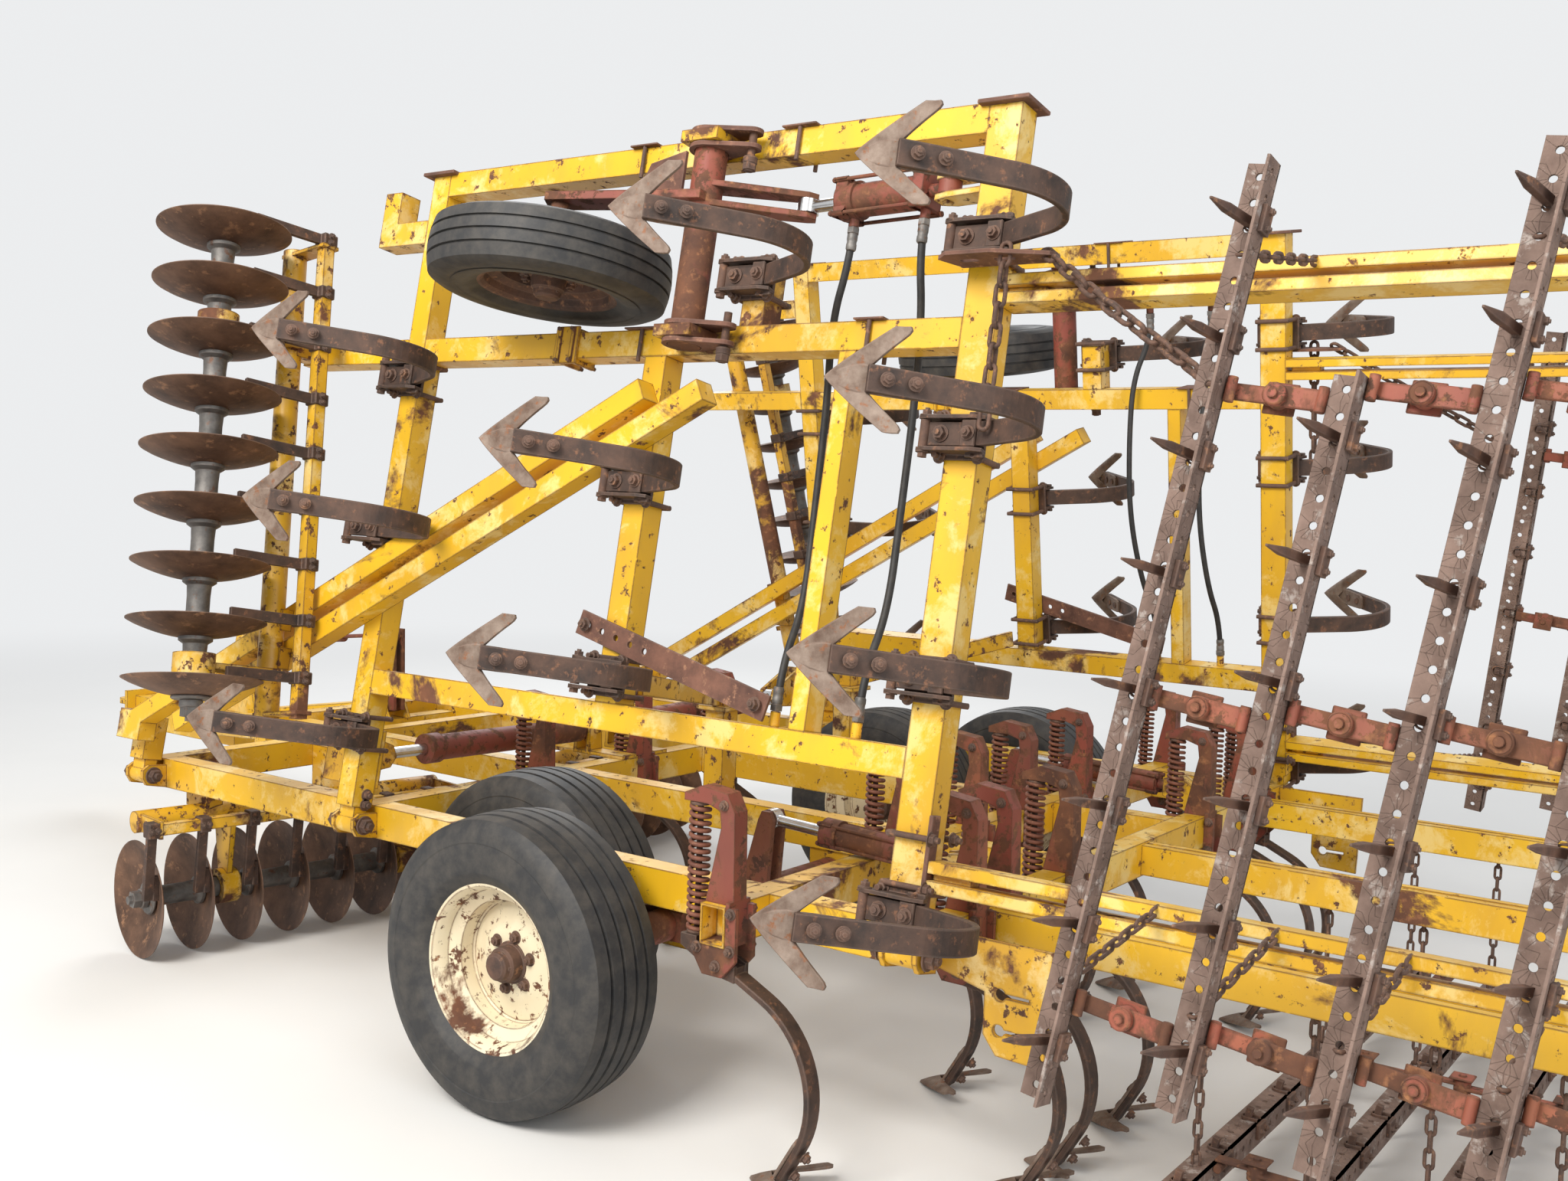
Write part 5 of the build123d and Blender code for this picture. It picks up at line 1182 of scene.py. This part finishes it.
class FINISHER_OT_fittings(bpy.types.Operator):
    """Bolted plates, U-bolts, scrapers, transport chains and hinge bolts on the frame and wings."""
    bl_idname = "finisher.fittings"
    bl_label = "Fittings"

    def execute(self, context):
        pins, keys = Shape(), Shape()
        for name, side in SIDES:
            place = wing_place(side)
            body = f"wing_{name}"
            plates, browns, bolts, gusset = (Shape(place) for _ in range(4))
            self.beam_plates(plates, browns, bolts)
            self.post_foot(browns, bolts)
            self.rockshaft_bearings(browns, bolts)
            self.slotted_plate(browns, bolts)
            plates.object(f"wing_plates_{name}", "yellow_worn", body, "yellow_paint")
            browns.object(f"wing_straps_{name}", "brown", body, "rusty_steel")
            bolts.object(f"wing_bolts_{name}", "rust", body, "worn_steel")
            outline = [(1.862, -0.890), (1.974, -0.890), (1.950, -0.770), (1.905, -0.750), (1.862, -0.775)]
            hole = [(1.898, -0.842), (1.922, -0.842), (1.922, -0.818), (1.898, -0.818)]
            gusset.cut_plate(outline, [hole], 0.010, Matrix.Translation((0, 0, -0.152)))
            gusset.object(f"rockshaft_gusset_{name}", "brown", f"wing_rockshaft_{name}", "red_steel")
            points = [place @ Vector(p) for p in ((1.640, -1.975, -0.085), (1.470, -2.200, -0.200),
                                                  (1.291, -2.462, -0.300), (1.636, -1.880, -0.120),
                                                  (1.250, -1.880, -0.120))]
            runs = [points[:2], points[1:3], points[3:]]
            hang_chains(f"transport_chain_{name}", runs, 0.046, 0.0060, body)
            self.scrapers(place @ Matrix.Translation(WING_GANG), 9, f"wing_scrapers_{name}", body)
            self.scrapers(mirrored(Matrix.Translation(CENTRE_GANG), side), 7, f"scrapers_{name}", "frame")
            for y in (FRONT_Y, SECOND_Y, REAR_Y):
                for sign in (-1, 1):
                    pins.bolt((side * HINGE_X, y + sign * 0.061, FRAME_Z), (0, sign, 0), 0.022)
            outline = [(-1.824, 0.668), (-1.824, 0.575), (-1.950, 0.545), (-1.950, 0.445), (-1.985, 0.400),
                       (-2.110, 0.395), (-2.120, 0.668)]
            # Keyholes, their slots towards the rear
            holes = [[(-2.065, z + 0.005), (-2.065, z - 0.005)] + arc((-1.990, z), 0.015, 200, 320, 16)
                     for z in (0.545, 0.460)]
            keys.place = mirrored(Matrix.Identity(4), side)
            keys.cut_plate(outline, holes, 0.012, stand_x(1.234))
        pins.object("hinge_bolts", "rust", "frame", "worn_steel")
        keys.object("keyhole_plates", "yellow_worn", "frame", "yellow_paint")
        return {"FINISHED"}

    @staticmethod
    def beam_plates(plates, browns, bolts):
        """Clamp plates round beam B, cap plates on the posts, top plates on the beams and a drag strap."""
        for y in (-0.420, -0.470):
            plates.box((BEAM_B - 0.052, y - 0.006, -0.052), (BEAM_B + 0.052, y + 0.006, 0.052))
            for u in (-0.046, 0.046):
                bolts.rod((BEAM_B + u, y, -0.060), (BEAM_B + u, y, 0.060), 0.006, 8)
        plates.box((BEAM_B - 0.055, -0.490, -0.048), (BEAM_B + 0.055, -0.400, -0.0385), 0.002)
        for y in (POST_1, POST_4):
            browns.box((2.0445, y - 0.070, -0.060), (2.0555, y + 0.070, 0.060), 0.002)
        # Beam, y middle, half length
        for beam, y, half in ((BEAM_C, -1.180, 0.055), (BEAM_C, -0.640, 0.050), (BEAM_B, -0.730, 0.060),
                              (BEAM_B, -1.480, 0.045)):
            x = beam + HALF
            browns.box((x - 0.001, y - half, -0.056), (x + 0.004, y + half, 0.050), 0.001)
            for z in (-0.047, 0.044):
                bolts.rod((x - 0.092, y, z), (x + 0.004, y, z), 0.006, 8)
        for x in (0.090, 0.060):
            bolts.bolt((x, POST_1 - HALF, 0.010), (0, -1, 0), 0.014)
        # Perforated drag strap from post 2 down to beam A
        lean = turned_to((0.690, -0.660, -0.052), (0.520 - 0.690, -1.330 + 0.660, 0))
        holes = [ring(0.009, 16, (0.0, z)) for z in (0.035, 0.090, 0.145, 0.200, 0.255, 0.640)]
        browns.cut_plate([(-0.034, 0), (0.034, 0), (0.034, 0.690), (-0.034, 0.690)], holes, 0.009,
                         lean @ Matrix.Rotation(math.pi / 2, 4, "X") @ Matrix.Scale(-1, 4, (0, 0, 1)))
        for at in ((0.682, -0.692), (0.528, -1.300)):
            bolts.bolt((*at, -0.062), (0, 0, -1), 0.014)

    @staticmethod
    def post_foot(browns, bolts):
        """Two U-bolts round post 4's foot with their backing plate."""
        browns.box((0.115, POST_4 - 0.057, -0.050), (0.330, POST_4 - 0.046, -0.012), 0.002)
        for x in (0.160, 0.275):
            for z in (-0.053, 0.053):
                bolts.rod((x, POST_4 - 0.082, z), (x, POST_4 + 0.055, z), 0.0075, 10)
                bolts.bolt((x, POST_4 - 0.057, z), (0, -1, 0), 0.0135)
            bolts.rod((x, POST_4 + 0.053, -0.058), (x, POST_4 + 0.053, 0.058), 0.0075, 10)

    @staticmethod
    def rockshaft_bearings(browns, bolts):
        """Strap round the wing's rockshaft at each bearing, with its long bolt behind the shaft."""
        tab = (WING_ROCK[0] - 0.128, WING_ROCK[1] + 0.010)
        outline = arc(WING_ROCK, 0.062, -115, 240, 18) + arc(tab, 0.026, 110, 140, 8)
        for x in (BEAM_B - 0.030, BEAM_B + 0.018, BEAM_C - 0.030, BEAM_C + 0.013):
            browns.cut_plate(outline, [ring(0.0475, 28, WING_ROCK)], 0.012, stand_x(x))
        for low, high in ((BEAM_B - 0.075, BEAM_B + 0.060), (BEAM_C - 0.090, BEAM_C + 0.020)):
            bolts.rod((low, *tab), (high, *tab), 0.011, 12)
            bolts.rod((low + 0.020, *tab), (low + 0.040, *tab), 0.020, 14, 0.003)
            bolts.bolt((low + 0.020, *tab), (-1, 0, 0), 0.019, washer=False, nut=False)

    @staticmethod
    def slotted_plate(browns, bolts):
        """Plate with slots at post 4, which holds the transport chain."""
        outline = [(-1.700, -0.120), (-1.735, -0.050), (-1.960, -0.050), (-1.998, -0.078), (-1.985, -0.105),
                   (-1.850, -0.150), (-1.735, -0.150)]
        holes = [arc((y + long / 2, z), r, -90, 180, 8) + arc((y - long / 2, z), r, 90, 180, 8)
                 for y, z, long, r in ((-1.775, -0.100, 0.030, 0.009), (-1.868, -0.098, 0.036, 0.010))]
        browns.cut_plate(outline, [*holes, ring(0.011, 16, (-1.965, -0.080))], 0.010, stand_x(1.634))
        for y in (-1.755, -1.815):
            bolts.bolt((1.644, y, -0.066), (1, 0, 0), 0.012)

    @staticmethod
    def scrapers(place, count, name, body):
        """Dark scraper blades with their clamps on the gang's bar."""
        shape = Shape(place @ Matrix.Rotation(GANG_TURN, 4, "Z"))
        gap = bpy.context.scene.finisher_discs.gap
        y, z = SCRAPER_Y, GANG_DROP - GANG_TUBE_DROP
        blade = [(y - 0.008, z - 0.010), (y + 0.008, z - 0.010), (y + 0.042, 0.030), (y + 0.023, 0.024)]
        for k in range(count):
            x = (k - (count - 1) / 2) * gap
            shape.box((x + 0.046, y - 0.026, z - 0.026), (x + 0.084, y + 0.026, z + 0.026), 0.003)
            shape.plate(blade, 0.032, stand_x(x + 0.049))
            for u in (0.054, 0.076):
                shape.bolt((x + u, y - 0.026, z), (0, -1, 0), 0.0085)
            shape.box((x + 0.028, y + 0.020, 0.020), (x + 0.050, y + 0.046, 0.105), 0.002)
        shape.object(name, "shank", body, "rusty_steel", auto=40)


class FINISHER_OT_dress(bpy.types.Operator):
    """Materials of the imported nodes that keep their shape."""
    bl_idname = "finisher.dress"
    bl_label = "Materials"

    def execute(self, context):
        dress("yellow", "cross_tubes", "rails", "nose_beam", "drawbar", "drawbar_arms", "harrow_arms")
        dress("yellow_worn", "frame_brackets", "centre_gang_beams")
        dress("red", "trip_brackets", "rockshaft", "walking_beams", "level_crank", "level_link")
        for name, _ in SIDES:
            for material, kinds in (
                    ("yellow", ("wing_posts", "wing_beams", "wing_braces", "wing_harrow_arms")),
                    ("yellow_worn", ("wing_brackets", "wing_gang_beam")),
                    ("red", ("wing_rockshaft", "wing_lift_barrel", "lift_barrel", "fold_barrel")),
                    ("chrome", ("wing_lift_rod", "lift_rod", "fold_rod"))):
                dress(material, *(f"{kind}_{name}" for kind in kinds))
        return {"FINISHED"}


class FINISHER_OT_stage(bpy.types.Operator):
    """Pale floor, world and soft studio lights."""
    bl_idname = "finisher.stage"
    bl_label = "Stage"

    def execute(self, context):
        s = context.scene.finisher_stage
        mesh = bpy.data.meshes.new("studio_floor")
        mesh.from_pydata([(-60, -60, 0), (60, -60, 0), (60, 60, 0), (-60, 60, 0)], [], [(0, 1, 2, 3)])
        mesh.materials.append(self.floor_material(s))
        piece = bpy.data.objects.new("studio_floor", mesh)
        context.scene.collection.objects.link(piece)
        self.light_world(context.scene, s)
        for label, at, aim, size, power, color in (
                ("key", (-7.5, -1.0, 6.5), (0, -0.4, 1.0), 4.0, s.key, (1.0, 0.97, 0.92)),
                ("fill", (-4.0, -8.0, 4.0), (0, -1.0, 1.0), 5.0, s.key * 0.28, (0.96, 0.98, 1.0)),
                ("rim", (6.0, 5.0, 6.5), (0, 0, 1.2), 5.0, s.key * 0.45, (0.96, 0.98, 1.0))):
            data = bpy.data.lights.new(f"{label}_light", "AREA")
            data.size = size
            data.energy = power
            data.color = color
            lamp = bpy.data.objects.new(f"{label}_light", data)
            lamp.location = at
            lamp.rotation_euler = (Vector(aim) - Vector(at)).to_track_quat("-Z", "Y").to_euler()
            context.scene.collection.objects.link(lamp)
        context.scene.view_settings.view_transform = "Standard"
        return {"FINISHED"}

    @staticmethod
    def floor_material(s):
        """Pale floor that turns into the backdrop's colour away from the machine."""
        n = Nodes("studio_floor")
        n.finish(n.ramp(n.noise(1.2, 5), 0.3, 0.8, tuple(s.floor), tuple(c * 0.97 for c in s.floor)), 0.9)
        away = n.new("ShaderNodeVectorMath", {0: n.object}, operation="LENGTH").outputs["Value"]
        far = n.new("ShaderNodeMapRange", {"Value": away, "From Min": 3.5, "From Max": 13.0},
                    interpolation_type="SMOOTHSTEP").outputs["Result"]
        seen = n.new("ShaderNodeLightPath").outputs["Is Camera Ray"]
        plain = n.new("ShaderNodeEmission", {"Color": (*s.backdrop, 1)}).outputs["Emission"]
        blend = n.new("ShaderNodeMixShader", {"Fac": n.math("MULTIPLY", far, seen),
                                              1: n.shader.outputs["BSDF"], 2: plain})
        n.put(n.tree.nodes["Material Output"].inputs["Surface"], blend.outputs["Shader"])
        return n.material

    @staticmethod
    def light_world(scene, s):
        """Even soft light, seen by the camera and in reflections as the backdrop."""
        world = bpy.data.worlds.new("studio_world")
        scene.world = world
        world.use_nodes = True
        n = Tree(world.node_tree)
        light = n.tree.nodes["Background"]
        n.put(light.inputs["Color"], (0.93, 0.96, 1.0, 1))
        n.put(light.inputs["Strength"], 0.55)
        seen = n.new("ShaderNodeBackground", {"Color": (*s.backdrop, 1), "Strength": 1.0})
        path = n.new("ShaderNodeLightPath").outputs
        either = n.math("MAXIMUM", path["Is Camera Ray"], path["Is Glossy Ray"])
        mix = n.new("ShaderNodeMixShader", {"Fac": either, 1: light.outputs[0], 2: seen.outputs[0]})
        n.put(n.tree.nodes["World Output"].inputs["Surface"], mix.outputs[0])


class FINISHER_PT_panel(bpy.types.Panel):
    """Buttons for each group of pieces."""
    bl_idname = "FINISHER_PT_panel"
    bl_label = "Mulch finisher"
    bl_space_type = "VIEW_3D"
    bl_region_type = "UI"
    bl_category = "Finisher"

    def draw(self, context):
        for operator in OPERATORS:
            self.layout.operator(operator.bl_idname)


SETTINGS = {"finisher_stage": FINISHER_PG_stage, "finisher_wheels": FINISHER_PG_wheels,
            "finisher_discs": FINISHER_PG_discs, "finisher_shanks": FINISHER_PG_shanks,
            "finisher_harrow": FINISHER_PG_harrow}
OPERATORS = (FINISHER_OT_camera, FINISHER_OT_hoses, FINISHER_OT_dress, FINISHER_OT_wheels, FINISHER_OT_discs,
             FINISHER_OT_shanks, FINISHER_OT_trips, FINISHER_OT_harrow, FINISHER_OT_cylinders,
             FINISHER_OT_fittings, FINISHER_OT_stage)


def register():
    """Register every class and the scene's settings."""
    for item in (*SETTINGS.values(), *OPERATORS, FINISHER_PT_panel):
        bpy.utils.register_class(item)
    for name, item in SETTINGS.items():
        setattr(bpy.types.Scene, name, bpy.props.PointerProperty(type=item))


def unregister():
    """Remove what register added."""
    for name in SETTINGS:
        delattr(bpy.types.Scene, name)
    for item in reversed((*SETTINGS.values(), *OPERATORS, FINISHER_PT_panel)):
        bpy.utils.unregister_class(item)


def main():
    """Build every piece in order."""
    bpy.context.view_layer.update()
    register()
    M.update(make_materials())
    TREES.update(chain=chain_group(), row=row_group(), spring=spring_group())
    for operator in OPERATORS:
        prefix, call = operator.bl_idname.split(".")
        getattr(getattr(bpy.ops, prefix), call)()


if __name__ == "__main__":
    main()
